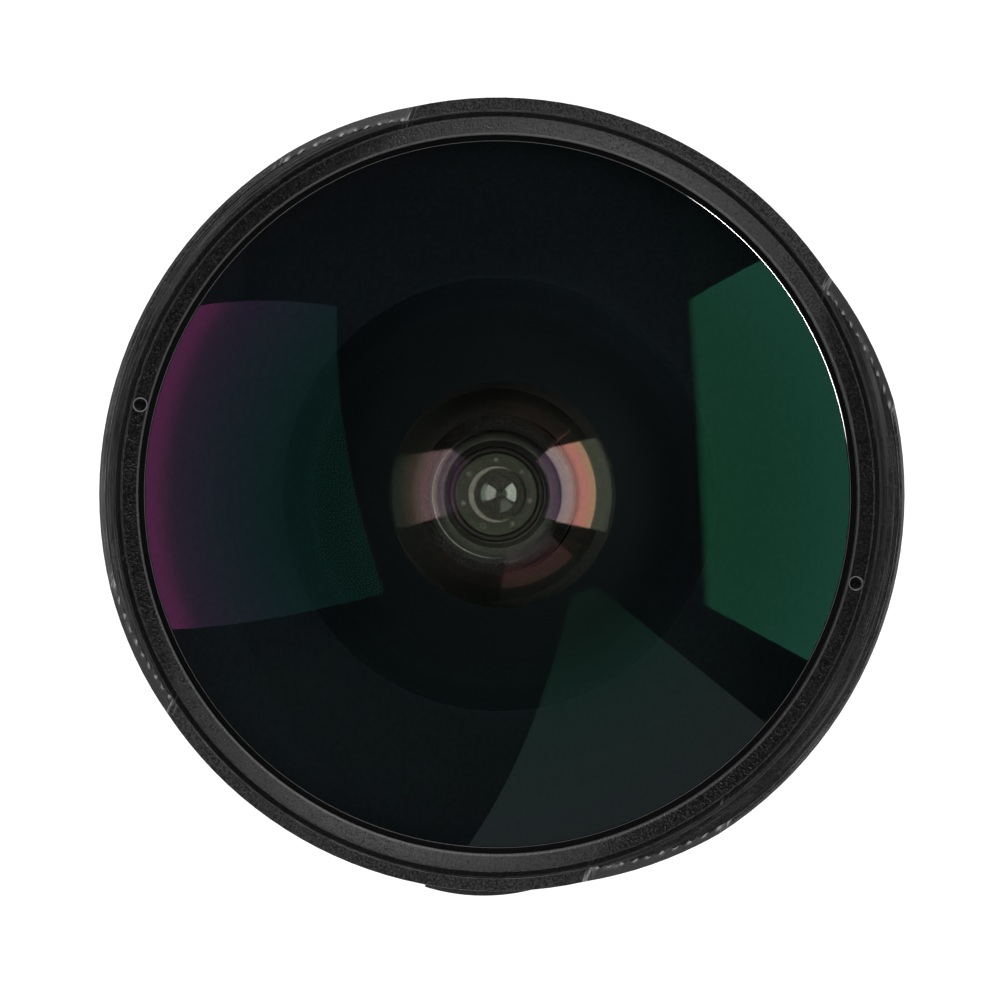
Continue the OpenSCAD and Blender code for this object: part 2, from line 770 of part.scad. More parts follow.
// Ring that holds the front element, with two holes for a spanner
module front_retaining_ring() {
  lip = 0.2;
  spanner_r = 0.6;
  spanner_depth = 0.8;
  color("gray")
    difference() {
      rotate_extrude() polygon([
        [front_ring_in, z_ring_foot], [front_ring_r, z_ring_foot], [front_ring_r, z_face - lip],
        [front_ring_r - lip, z_face], [front_ring_in + lip, z_face], [front_ring_in, z_face - lip]
      ]);
      for (a = [98, 278]) rotate([0, 0, a])
        translate([front_ring_in + front_ring_w / 2, 0, z_face - spanner_depth])
          cylinder(r = spanner_r, h = spanner_depth + over);
    }
}

// Gasket whose underside follows the dome
module front_seal() {
  color("black")
    rotate_extrude() polygon([
      [seal_in, dome_z(seal_in) + seat], [front_glass_r, dome_z(front_glass_r) + seat],
      [front_glass_r, z_ring_foot - seat / 2], [seal_in, z_ring_foot - seat / 2]
    ]);
}

module front_element() {
  color("midnightblue") dished(front_glass_r, z_dome, dome_curve, z_hollow, hollow_curve, z_glass_back);
}

// Funnel-shaped cell that carries the second and third elements
module front_cell() {
  third_bore = third_r + run;
  ring_bore = third_r + third_ring_w;
  wall = 1.9;
  color("black")
    rotate_extrude() polygon([
      [third_r - third_seat_w, z_cell0], [ring_bore + wall, z_cell0], [ring_bore + wall, z_cell_step - 1],
      [cell_bore_r - seat - cell_shoulder, z_cell_step], [cell_bore_r - seat, z_cell_step],
      [cell_bore_r - seat, z_hood_floor], [neck_r, z_hood_floor], [neck_r, z_glass_back - 0.4],
      [second_ring_r + seat, z_glass_back - 0.4], [second_ring_r + seat, second_z(second_r)],
      [second_r + run, second_z(second_r)], [second_r + run, z_second_back],
      [ring_bore, z_second_back], [ring_bore, third_z(third_r)], [third_bore, third_z(third_r)],
      [third_bore, z_third_seat], [third_r - third_seat_w, z_third_seat]
    ]);
}

module second_element() {
  color("midnightblue")
    dished(second_r, z_second, second_curve, z_second - second_t, second_hollow, z_second_back);
}

// Ring on the second element, coned where it meets the glass
module second_ring() {
  lip_r = second_r - 0.7;
  color("dimgray")
    rotate_extrude() polygon([
      [lip_r, second_z(lip_r) + seat], [second_r, second_z(second_r) + seat],
      [second_ring_r, second_z(second_r) + seat], [second_ring_r, z_glass_back + 0.35],
      [lip_r + 0.3, z_glass_back + 0.35]
    ]);
}

module third_element() {
  color("midnightblue") biconvex(third_r, z_third, third_front, z_third - third_t, third_rear);
}

// Ring in front of the third element
module third_ring() {
  lip_r = third_r - 0.9;
  ring_r = third_r + third_ring_w - seat;
  color("silver")
    rotate_extrude() polygon([
      [lip_r, third_z(lip_r) + seat], [third_r, third_z(third_r) + seat],
      [ring_r, third_z(third_r) + seat], [ring_r, z_third + 0.2], [lip_r + 0.4, z_third + 0.2]
    ]);
}

// Cell behind the iris: flange on the web, cup for the iris, bore for the rear glass
module rear_cell() {
  iris_hole = iris_open_r + 0.6;
  lip_z = z_fourth + 0.3;
  flange_out = bore_r - seat;
  color("dimgray")
    difference() {
      rotate_extrude() polygon([
        [iris_hole, lip_z], [iris_hole, z_iris], [cup_in, z_iris], [cup_in, z_cup],
        [cup_in + cup_wall, z_cup], [cup_in + cup_wall, z_iris], [flange_out, z_iris], [flange_out, z_web],
        [rear_tube_r, z_web], [rear_tube_r, z_rear_cell], [rear_ring_r + seat, z_rear_cell],
        [rear_ring_r + seat, z_rear_ring + 0.2], [rear_bore, z_rear_ring + 0.2], [rear_bore, lip_z]
      ]);
      drive_slot(cup_in, cup_in + cup_wall, gap);
      for (a = cell_screw_angles) rotate([0, 0, a]) translate([cell_screw_circle, 0, z_web - over]) {
        cylinder(r = small_screw_r + seat, h = cell_flange_t + 2 * over);
        translate([0, 0, over + cell_flange_t - small_head_h - seat])
          cylinder(r = small_head_r + seat, h = 2 * over);
      }
    }
}

module cell_screws() {
  color("dimgray")
    for (a = cell_screw_angles)
      screw_down(cell_screw_circle, a, z_iris, small_head_r, small_head_h, small_screw_r,
        cell_flange_t + cell_bite);
}

// Fixed plate with a hole for each blade's pivot
module iris_base_plate() {
  color("dimgray")
    difference() {
      tube(plate_r, iris_open_r + 0.15, z_iris, z_iris + plate_t);
      for (i = [0 : blades - 1]) rotate([0, 0, pivot_angle(i)]) translate([pivot_circle, 0, z_iris - over])
        cylinder(r = pin_r + hinge_run, h = plate_t + 2 * over);
    }
}

// Plate that keeps the cam ring in the cup and hides the slots; its hole is the widest stop
module iris_front_plate() {
  color("black") tube(plate_r, mask_r, z_iris_front, z_cup);
}

module fourth_element() {
  color("midnightblue") biconvex(rear_glass_r, z_fourth, fourth_curve, z_cement, cement_curve);
}

// Element cemented to the fourth: hollow in front, convex behind
module fifth_element() {
  z_rim = z_cement + sag(cement_curve, rear_glass_r);
  color("midnightblue")
    difference() {
      intersection() {
        translate([0, 0, z_fifth_back]) cylinder(r = rear_glass_r, h = z_rim - seat - z_fifth_back);
        translate([0, 0, z_fifth_back + fifth_curve]) sphere(r = fifth_curve, $fn = ball_fn);
      }
      translate([0, 0, z_cement + cement_curve]) sphere(r = cement_curve + seat, $fn = ball_fn);
    }
}

// Two plain rings between the rear elements
module rear_spacers() {
  color("black") {
    tube(rear_glass_r, spacer_in, z_sixth - sag(sixth_front, spacer_in) + seat,
      z_fifth_back + sag(fifth_curve, spacer_in) - seat);
    tube(rear_glass_r, spacer_in, z_seventh - sag(seventh_front, spacer_in) + seat,
      z_sixth_back + sag(sixth_rear, spacer_in) - seat);
  }
}

module sixth_element() {
  color("midnightblue") biconvex(rear_glass_r, z_sixth, sixth_front, z_sixth_back, sixth_rear);
}

module seventh_element() {
  color("midnightblue") biconvex(rear_glass_r, z_seventh, seventh_front, z_seventh_back, seventh_rear);
}

// Ring at the rear, with two slots for a spanner
module rear_retaining_ring() {
  slot_w = 1;
  slot_h = 0.7;
  color("dimgray")
    difference() {
      tube(rear_ring_r, rear_ring_in, z_rear_ring - ring_t, z_rear_ring);
      translate([-rear_ring_r - over, -slot_w / 2, z_rear_ring - ring_t - over])
        cube([2 * (rear_ring_r + over), slot_w, slot_h + over]);
    }
}

module click_ball() {
  color("silver") rotate([0, 0, ball_angle])
    translate([barrel_r + ball_out - ball_r, 0, z_ball]) sphere(r = ball_r);
}

// Spring under the ball, as a plain sleeve
module click_spring() {
  foot = barrel_r - ball_depth;
  color("silver")
    difference() {
      spoke(ball_r - run, foot, foot + spring_h, z_ball, ball_angle);
      spoke(ball_r / 2, foot - over, foot + spring_h + over, z_ball, ball_angle);
    }
}

// Knurled aperture ring with a channel and notches for the ball
module aperture_ring() {
  channel_h = 2 * ball_r + 0.4;
  band = 2.6;
  color("black")
    difference() {
      union() {
        translate([0, 0, z_ring0]) cylinder(r = aperture_r, h = aperture_w);
        ribs(aperture_ribs, aperture_r, 0.6, z_ring0 + band + 0.6, z_ring1 - 0.6);
      }
      translate([0, 0, z_ring0 - over]) cylinder(r = barrel_r + run, h = aperture_w + 2 * over);
      translate([0, 0, z_ball - channel_h / 2]) cylinder(r = channel_r, h = channel_h);
      for (i = [0 : click_stops - 1])
        spoke(ball_r * 0.7, barrel_r - over, channel_r + 0.3, z_ball, ball_angle - i * click_step);
      spoke(drive_r + seat, barrel_r - over, drive_out + 0.1, z_drive, drive_angle);
    }
}

// Path of a blade's drive pin: at ring angle t, as a point seen from the cam ring
function drive_point(t) =
  let (b = t * blade_ratio, c = cos(b), s = sin(b),
    arm = pivot_circle * [cos(lever_deg) - 1, sin(lever_deg)],
    p = [pivot_circle + c * arm[0] - s * arm[1], s * arm[0] + c * arm[1]])
  [p[0] * cos(t) + p[1] * sin(t), -p[0] * sin(t) + p[1] * cos(t)];

// Centre of the circle through three points
function arc_centre(a, b, c) =
  let (d = 2 * (a[0] * (b[1] - c[1]) + b[0] * (c[1] - a[1]) + c[0] * (a[1] - b[1])),
    aa = a * a, bb = b * b, cc = c * c)
  [(aa * (b[1] - c[1]) + bb * (c[1] - a[1]) + cc * (a[1] - b[1])) / d,
   (aa * (c[0] - b[0]) + bb * (a[0] - c[0]) + cc * (b[0] - a[0])) / d];

// Curved slot for one drive pin
module cam_slot() {
  open = drive_point(0);
  half = drive_point(aperture_turn / 2);
  shut = drive_point(aperture_turn);
  centre = arc_centre(open, half, shut);
  radius = norm(open - centre);
  from = atan2(shut[1] - centre[1], shut[0] - centre[0]);
  swing = atan2(open[1] - centre[1], open[0] - centre[0]) - from;
  width = pin_r + slot_slack;
  translate([0, 0, z_cam - over]) {
    for (p = [open, shut]) translate([p[0], p[1], 0]) cylinder(r = width, h = cam_t + 2 * over);
    translate([centre[0], centre[1], 0]) rotate([0, 0, from]) rotate_extrude(angle = swing)
      translate([radius - width, 0]) square([2 * width, cam_t + 2 * over]);
  }
}

// Ring whose slots swing the blades
module iris_cam_ring() {
  color("goldenrod")
    difference() {
      tube(cam_r, iris_open_r + 0.3, z_cam, z_cam + cam_t);
      for (i = [0 : blades - 1]) rotate([0, 0, pivot_angle(i)]) cam_slot();
      spoke(drive_r + seat, drive_in - 0.1, cam_r + over, z_drive, drive_angle);
    }
}

// Pin from the aperture ring to the cam ring
module drive_pin() {
  color("silver") spoke(drive_r, drive_in, drive_out, z_drive, drive_angle);
}

// One blade in its own layer: curved band, two ears, a pivot below and a drive pin above
module iris_blade(i) {
  z = z_blades + i * layer;
  color("black")
    rotate([0, 0, pivot_angle(i)]) {
      arc_block(iris_open_r, blade_out, z, z + blade_t, -blade_tail, blade_span + blade_tail);
      for (a = [0, lever_deg]) rotate([0, 0, a]) translate([pivot_circle, 0, z])
        cylinder(r = ear_r, h = blade_t);
      translate([pivot_circle, 0, z_iris + 0.1]) cylinder(r = pin_r, h = z + blade_t - z_iris - 0.1);
      rotate([0, 0, lever_deg]) translate([pivot_circle, 0, z]) cylinder(r = pin_r, h = z_cam + cam_t - z);
    }
}

mount_flange();
mount_screws();
index_bead();
rear_baffle();
rear_barrel();
scale_ring();
scale_screws();
bearing_ring();
guide_keys();
key_screws();
stop_pin();
focus_ring();
focus_tab();
tab_screws();
helicoid_sleeve();
focus_set_screws();
carrier_tube();
carrier_screws();
front_barrel();
petal_hood();
hood_screws();
front_retaining_ring();
front_seal();
front_element();
front_cell();
second_element();
second_ring();
third_element();
third_ring();
rear_cell();
cell_screws();
iris_base_plate();
iris_front_plate();
click_ball();
click_spring();
fourth_element();
fifth_element();
rear_spacers();
sixth_element();
seventh_element();
rear_retaining_ring();
aperture_ring();
iris_cam_ring();
drive_pin();
iris_blade(0);  // iris_blade_1
iris_blade(1);  // iris_blade_2
iris_blade(2);  // iris_blade_3
iris_blade(3);  // iris_blade_4
iris_blade(4);  // iris_blade_5
iris_blade(5);  // iris_blade_6
iris_blade(6);  // iris_blade_7
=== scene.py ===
# %% [markdown]
# # A fisheye lens
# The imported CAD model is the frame: it holds the lens in metres, with the flange face at height zero
# and the domed glass towards +Z. Blender only dresses it, so nothing is measured twice.

import json
import math

import bmesh
import bpy
from mathutils import Matrix, Vector


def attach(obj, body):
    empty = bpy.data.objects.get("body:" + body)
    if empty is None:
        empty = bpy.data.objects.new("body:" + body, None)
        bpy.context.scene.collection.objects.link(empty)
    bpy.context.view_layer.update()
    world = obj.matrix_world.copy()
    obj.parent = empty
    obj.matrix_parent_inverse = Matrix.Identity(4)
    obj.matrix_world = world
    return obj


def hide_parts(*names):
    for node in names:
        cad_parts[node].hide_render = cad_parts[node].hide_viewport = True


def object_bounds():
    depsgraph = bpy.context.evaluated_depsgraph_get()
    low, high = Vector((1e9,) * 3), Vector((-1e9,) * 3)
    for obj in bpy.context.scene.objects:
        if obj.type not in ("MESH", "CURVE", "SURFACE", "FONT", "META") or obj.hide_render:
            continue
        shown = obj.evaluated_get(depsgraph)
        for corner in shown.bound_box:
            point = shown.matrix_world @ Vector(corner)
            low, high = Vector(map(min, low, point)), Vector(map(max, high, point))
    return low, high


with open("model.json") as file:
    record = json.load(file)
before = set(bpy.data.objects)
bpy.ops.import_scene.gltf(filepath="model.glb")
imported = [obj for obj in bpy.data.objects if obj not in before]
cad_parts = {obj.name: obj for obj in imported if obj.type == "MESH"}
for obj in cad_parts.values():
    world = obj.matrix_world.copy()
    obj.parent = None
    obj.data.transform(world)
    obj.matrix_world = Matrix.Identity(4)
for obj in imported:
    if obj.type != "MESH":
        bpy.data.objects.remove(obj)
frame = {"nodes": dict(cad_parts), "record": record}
cad_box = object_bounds()
MM = 0.001
scene = bpy.context.scene
print("pieces of CAD:", len(frame["nodes"]), "box", [[round(v, 4) for v in c] for c in cad_box])

# %% [markdown]
# ## The view
# The photograph looks down the optical axis, with the lens turned about it and the camera a little to the left.
# A look-at constraint would do, but a matrix made from the picture's own right and up keeps the roll exact.

# %% Camera
PICTURE_TURN = math.radians(68)
CAMERA_LEFT, CAMERA_HEIGHT = 20 * MM, 488 * MM
AIM_RIGHT, AIM_UP, AIM_HEIGHT = 0.03 * MM, -0.11 * MM, 58 * MM
SENSOR_WIDTH, FOCAL_LENGTH = 36, 164.1
NEAREST = 10 * MM
picture_right = Vector((math.cos(PICTURE_TURN), -math.sin(PICTURE_TURN), 0))
picture_up = Vector((math.sin(PICTURE_TURN), math.cos(PICTURE_TURN), 0))


def in_picture(x, y, z):
    """A point given along the picture's right, up and towards the camera, as a point of the frame."""
    return picture_right * x + picture_up * y + Vector((0, 0, z))


def looking(place, along, up):
    """A matrix at place whose -Z looks along and whose Y leans to up."""
    back = -along.normalized()
    side = up.cross(back).normalized()
    turn = Matrix((side, back.cross(side), back)).transposed()
    return Matrix.Translation(place) @ turn.to_4x4()


eye = in_picture(-CAMERA_LEFT, 0, CAMERA_HEIGHT)
aim = in_picture(AIM_RIGHT, AIM_UP, AIM_HEIGHT)
camera = bpy.data.objects.new("camera", bpy.data.cameras.new("camera"))
camera.data.sensor_fit = "HORIZONTAL"
camera.data.sensor_width = SENSOR_WIDTH
camera.data.lens = FOCAL_LENGTH
camera.data.clip_start = NEAREST
camera.matrix_world = looking(eye, aim - eye, picture_up)
scene.collection.objects.link(camera)
scene.camera = camera
scene.view_settings.view_transform = "Standard"
print("camera at", [round(v, 3) for v in eye])

# %% [markdown]
# ## Nodes in few words
# Every finish is a small node tree. Clicking nodes together is the usual way to learn it; in a script, a helper
# that adds a node, sets its sockets and joins them keeps each tree short enough to read.


# %% Node helper
class Tree:
    """Adds nodes to one node tree. A socket given as a value is joined, anything else is set."""

    def __init__(self, owner):
        owner.use_nodes = True
        self.tree = owner.node_tree
        self.tree.nodes.clear()

    def add(self, kind, sockets=None, out=0, **settings):
        """A new node with its settings made and its sockets filled; gives back one of its outputs."""
        node = self.tree.nodes.new("ShaderNode" + kind)
        for name, value in settings.items():
            setattr(node, name, value)
        for name, value in (sockets or {}).items():
            socket = node.inputs[name]
            if isinstance(value, bpy.types.NodeSocket):
                self.tree.links.new(value, socket)
            else:
                socket.default_value = value
        return node.outputs[out]

    def math(self, operation, a, b=0.0):
        return self.add("Math", {0: a, 1: b}, operation=operation)

    def times(self, first, *others):
        """The product of several values."""
        for other in others:
            first = self.math("MULTIPLY", first, other)
        return first

    def vector(self, operation, a, b=(0, 0, 0), out=0):
        """Vector arithmetic. Lengths and dot products come from output 1."""
        return self.add("VectorMath", {0: a, 1: b}, out=out, operation=operation)

    def noise(self, place, scale, detail, roughness=0.5):
        """Cloudy noise, most of it between 0.35 and 0.65."""
        return self.add("TexNoise", {"Vector": place, "Scale": scale, "Detail": detail, "Roughness": roughness})

    def mix(self, factor, one, two):
        """One colour where factor is 0, the other where it is 1."""
        return self.add("MixRGB", {0: factor, 1: one, 2: two})

    def tinted(self, one, two):
        """Two colours multiplied."""
        return self.add("MixRGB", {0: 1.0, 1: one, 2: two}, blend_type="MULTIPLY")

    def ramp(self, factor, stops):
        """A colour ramp with (place, red, green, blue) stops."""
        colour = self.add("ValToRGB", {"Fac": factor})
        band = colour.node.color_ramp
        while len(band.elements) < len(stops):
            band.elements.new(0.5)
        for element, (place, *rgb) in zip(band.elements, stops):
            element.position = place
            element.color = (*rgb, 1)
        return colour

    def spread(self, value, low, high, to_low=0.0, to_high=1.0):
        """Maps low..high to to_low..to_high, held at the ends."""
        return self.add("MapRange", {"Value": value, "From Min": low, "From Max": high,
                                     "To Min": to_low, "To Max": to_high})

    def place(self):
        """The point in the piece's own space, which stays with it when it moves."""
        return self.add("TexCoord", out=3)

    def height_of(self, place):
        return self.add("SeparateXYZ", {0: place}, out=2)

    def end(self, shader):
        """Joins the finished shader to the output of the material or world."""
        kind = "ShaderNodeOutputWorld" if self.tree.nodes.get("Background") else "ShaderNodeOutputMaterial"
        node = self.tree.nodes.new(kind)
        self.tree.links.new(shader, node.inputs["Surface"])


def grey(level):
    return (level, level, level, 1)


print("node helper ready")

# %% [markdown]
# ## Places on the lens
# Scuffs, coatings and polished arcs belong to places on the lens, so their colour is worked out from the point itself.
# Unwrapping each mesh is the other way; the point in the piece's own space needs no unwrapping, and the pattern stays
# on the piece when it turns or slides.


# %% Places on the lens
def radius_of(t):
    """Distance from the optical axis in millimetres."""
    flat = t.vector("MULTIPLY", t.place(), (1 / MM, 1 / MM, 0))
    return t.vector("LENGTH", flat, out=1)


def distance_along(t, way):
    """How far a point lies from the axis along a unit vector, in millimetres."""
    return t.vector("DOT_PRODUCT", t.place(), tuple(way / MM), out=1)


def towards(t, angle, low, high):
    """0 to 1 as a point lies further towards an angle of the picture, in millimetres from the axis."""
    a = math.radians(angle)
    return t.spread(distance_along(t, in_picture(math.cos(a), math.sin(a), 0)), low, high)


print("places ready")

# %% [markdown]
# ## Floor and world
# The lens stands on its bayonet on a white table. The floor glows for the camera and for rays that come off or through
# the glass, so that it looks white without more light on the lens, and its diffuse part keeps the shadow. The camera
# sees a white backdrop, but the dome mirrors the room, which is dark as a studio is. For matt surfaces it is lighter.

# %% Floor and world
FLOOR_SIZE, FLOOR_GLOW, FLOOR_GREY = 6.0, 0.9, 0.3
ROOM_FOR_MATT, ROOM_FOR_MIRRORS, BACKDROP = 0.1, 0.03, 1.0
floor_height = cad_box[0][2]
half = FLOOR_SIZE / 2
corners = [(-half, -half), (half, -half), (half, half), (-half, half)]
floor_mesh = bpy.data.meshes.new("floor")
floor_mesh.from_pydata([(x, y, floor_height) for x, y in corners], [], [(0, 1, 2, 3)])
floor = bpy.data.objects.new("floor", floor_mesh)
scene.collection.objects.link(floor)

floor_paint = bpy.data.materials.new("white_table")
t = Tree(floor_paint)
rays = t.add("LightPath").node.outputs
seen = t.math("MAXIMUM", rays["Is Camera Ray"], rays["Is Glossy Ray"])
seen = t.math("MAXIMUM", seen, rays["Is Transmission Ray"])
glow = t.add("Emission", {"Color": grey(1.0), "Strength": t.math("MULTIPLY", seen, FLOOR_GLOW)})
matt = t.add("BsdfDiffuse", {"Color": grey(FLOOR_GREY)})
t.end(t.add("AddShader", {0: glow, 1: matt}))
floor_mesh.materials.append(floor_paint)

world = bpy.data.worlds.new("dark_studio")
scene.world = world
t = Tree(world)
rays = t.add("LightPath").node.outputs
room = t.mix(rays["Is Glossy Ray"], grey(ROOM_FOR_MATT), grey(ROOM_FOR_MIRRORS))
room = t.mix(rays["Is Camera Ray"], room, grey(BACKDROP))
t.end(t.add("Background", {"Color": room, "Strength": 1.0}))
print("floor at", round(floor_height / MM, 2), "mm")

# %% [markdown]
# ## Lamps
# Two soft boxes stand left and right and show in the dome as green and purple windows. Their edges were read from
# where those windows end on the glass, but the right one is taller: there the coating ends the window along a
# straight line. A long low card gives the dim wedge below. Two key lamps light the metal and a third lights the
# inside round the iris; a later step tells each lamp what it lights.

# %% Lamps
lamps = []


def soft_box(name, inner, along, across, length, width, facing, radiance):
    """A panel that starts at inner and runs along; facing is the way that it shines. Radiance 1 looks white."""
    along, across, facing = (in_picture(*v).normalized() for v in (along, across, facing))
    if along.cross(across).dot(facing) > 0:
        across = -across
    lamp = bpy.data.lights.new(name, "AREA")
    lamp.shape = "RECTANGLE"
    lamp.size, lamp.size_y = length, width
    lamp.energy = radiance * math.pi * length * width
    obj = bpy.data.objects.new(name, lamp)
    turn = Matrix((along, across, along.cross(across))).transposed()
    obj.matrix_world = Matrix.Translation(in_picture(*inner) + along * length / 2) @ turn.to_4x4()
    obj.visible_camera = False
    scene.collection.objects.link(obj)
    lamps.append(obj)
    return obj


def key_lamp(name, azimuth, elevation, size, radiance, distance=0.8):
    """A square panel aimed at the lens, placed by its angles in the picture."""
    a, e = math.radians(azimuth), math.radians(elevation)
    out = Vector((math.cos(e) * math.cos(a), math.cos(e) * math.sin(a), math.sin(e)))
    side = Vector((-math.sin(a), math.cos(a), 0))
    rise = side.cross(out)
    corner = out * distance - rise * size / 2
    return soft_box(name, corner, rise, side, size, size, -out, radiance)


DOME_HEIGHT = 0.06
windows = [
    soft_box("right_window", inner=(0.415, 0.106, 0.463 + DOME_HEIGHT), along=(0.153, -0.079, -0.985),
             across=(-0.005, 0.997, -0.081), length=0.51, width=0.64, facing=(-0.988, -0.018, -0.152), radiance=3.0),
    soft_box("left_window", inner=(-0.528, 0.367, 0.771 + DOME_HEIGHT), along=(-0.677, -0.081, -0.731),
             across=(-0.378, 0.891, 0.252), length=1.0, width=1.38, facing=(0.631, 0.447, -0.634), radiance=2.0),
    soft_box("low_card", inner=(0.494, -0.515, 1.317 + DOME_HEIGHT), along=(-0.303, 0.268, -0.914),
             across=(0.902, 0.389, -0.185), length=1.45, width=0.147, facing=(-0.307, 0.881, 0.36), radiance=0.5),
]
metal_keys = [
    key_lamp("upper_key", azimuth=68, elevation=45, size=0.4, radiance=6.0),
    key_lamp("lower_key", azimuth=253, elevation=40, size=0.4, radiance=5.0),
]
iris_lamp = key_lamp("iris_lamp", azimuth=90, elevation=84, size=0.3, radiance=60.0)
print("lamps:", [lamp.name for lamp in lamps])

# %% [markdown]
# ## Metal finishes
# Nearly all of the outside is black anodised aluminium. Real anodising is a dull clear skin over dyed metal, so a dark
# Principled surface with grain in its bump and roughness looks right. The Bevel node rounds edges in the shading and
# also finds them, which gives the bright worn line along each edge without touching the CAD mesh.

# %% Black anodised metal
# The grey of worn edges, which the painted highlights use as well.
WEAR_AND_HIGHLIGHT_TONE, WEAR_AND_HIGHLIGHT_ROUGHNESS, WEAR_AND_HIGHLIGHT_METAL = (0.5, 0.5, 0.51, 1), 0.4, 0.3
BLOTCH_SCALE, RUB_SCALE = 70.0, 420.0
QUARTER_TURN = 0.25
materials = {}


def finish_tree(name):
    """An empty node tree for a new material of this name."""
    materials[name] = bpy.data.materials.new(name)
    return Tree(materials[name])


def edge_mask(t, radius, low, high):
    """1 on the sharp edges of a piece and 0 on its faces, and the rounded normal itself."""
    rounded = t.add("Bevel", {"Radius": radius}, samples=6)
    plain = t.add("NewGeometry", out=1)
    sharpness = t.math("SUBTRACT", 1.0, t.vector("DOT_PRODUCT", rounded, plain, out=1))
    return t.spread(sharpness, low, high), rounded


def anodised(name, colour, roughness, grain_scale, grain_depth, edge_radius, wear, grit=0.45, turned=0.0,
             anisotropy=0.0, gloss=0.5, sparkle=0.06, scuffs_and_highlights=None):
    """Black anodised metal: grain, blotches, optional fine turning lines, and edges rubbed to grey. The scuffs
    function adds scuffed places and painted highlights of its own."""
    t = finish_tree(name)
    place = t.place()
    grain = t.noise(place, grain_scale, 1.0, 0.6)
    blotch = t.noise(place, BLOTCH_SCALE, 4.0)
    edges, rounded = edge_mask(t, edge_radius, 0.02, 0.16)
    rub = t.spread(t.noise(place, RUB_SCALE, 5.0), 0.35, 0.62)
    # Edge wear, then the scuffs and painted highlights that a caller adds.
    wear_and_highlight = t.times(edges, rub, wear)
    if scuffs_and_highlights:
        wear_and_highlight = t.math("MAXIMUM", wear_and_highlight, scuffs_and_highlights(t))
    mottle = t.math("ADD", t.math("MULTIPLY", grain, 0.8), t.math("MULTIPLY", blotch, 0.2))
    dark, light = ([c * level for c in colour] for level in (1 - grit, 1 + 2 * grit))
    tone = t.mix(wear_and_highlight, t.ramp(mottle, [(0.36, *dark), (0.5, *colour), (0.64, *light)]), WEAR_AND_HIGHLIGHT_TONE)
    rough = t.spread(mottle, 0.38, 0.62, roughness - sparkle, roughness + sparkle)
    rough = t.mix(wear_and_highlight, rough, grey(WEAR_AND_HIGHLIGHT_ROUGHNESS))
    height = grain
    if turned:
        lines = t.noise(t.height_of(place), turned, 2.0)
        height = t.math("ADD", t.math("MULTIPLY", grain, 0.5), t.math("MULTIPLY", lines, 0.5))
    bump = t.add("Bump", {"Height": height, "Normal": rounded, "Strength": 0.8, "Distance": grain_depth})
    sockets = {"Base Color": tone, "Roughness": rough, "Normal": bump, "Specular IOR Level": gloss,
               "Metallic": t.math("MULTIPLY", wear_and_highlight, WEAR_AND_HIGHLIGHT_METAL)}
    if anisotropy:
        sockets.update({"Anisotropic": anisotropy, "Anisotropic Rotation": QUARTER_TURN,
                        "Tangent": t.add("Tangent", axis="Z", direction_type="RADIAL")})
    t.end(t.add("BsdfPrincipled", sockets))


print("anodising ready")

# %% [markdown]
# ## Worn places and painted highlights
# The hood is scratched where its slopes start and end; the ring has a painted highlight along its inner edge and
# bright rims round its holes. These are colour only. Modelled scratches would be far too small to matter; a mask from
# the point's own place is enough.
# Sizes are in millimetres and follow the CAD's, so that the masks fall on its edges.

# %% Worn places on the hood, painted highlights on the ring
LOW_EDGE, HIGH_EDGE = 21.24, 30.72
LOW_Z, PETAL_H, WALL_R, WALL_FLARE, TOOTH = 58.0, 8.0, 36.3, 0.55, 0.4
SPANNER_ANGLE, SPANNER_CIRCLE, SPANNER_R = 98, 34.925, 0.63
RING_INNER_R = 34.2


def hood_scuffs(t):
    """Scratched corners where the slopes start and end, bright teeth along their inner edge, streaks inside."""
    place = t.place()
    y, z = (t.math("MULTIPLY", t.add("SeparateXYZ", {0: place}, out=k), 1 / MM) for k in (1, 2))
    across = t.math("ABSOLUTE", y)
    rise = t.math("SUBTRACT", z, LOW_Z)
    above = t.spread(rise, 0.15, 0.4)
    up = t.spread(t.height_of(t.add("NewGeometry", out=1)), 0.68, 0.74)
    wall = t.math("ADD", t.math("MULTIPLY", rise, WALL_FLARE / PETAL_H), WALL_R)
    inside = t.math("SUBTRACT", radius_of(t), wall)

    near_ends = (t.spread(t.math("ABSOLUTE", t.math("SUBTRACT", across, edge)), 0.1, 0.6, 1.0, 0.0)
                 for edge in (LOW_EDGE, HIGH_EDGE))
    lines = t.vector("MULTIPLY", place, (0.15, 1.0, 0.4))
    scratch = t.spread(t.noise(lines, 4200.0, 4.0), 0.48, 0.7, 0.0, 0.4)
    scratch = t.times(t.math("MAXIMUM", *near_ends), up, scratch)

    tooth = t.spread(t.math("PINGPONG", rise, TOOTH), 0.2, 0.36)
    teeth = t.times(t.spread(inside, 0.16, 0.34, 1.0, 0.0), tooth, up, above, 0.42)

    streak = t.noise(t.vector("MULTIPLY", place, (0.06, 0.06, 1.0)), 900.0, 3.0)
    streak = t.times(t.spread(streak, 0.5, 0.72, 0.0, 0.14), above, t.spread(inside, 0.3, 0.5, 1.0, 0.0))
    return t.math("MAXIMUM", scratch, t.math("MAXIMUM", teeth, streak))


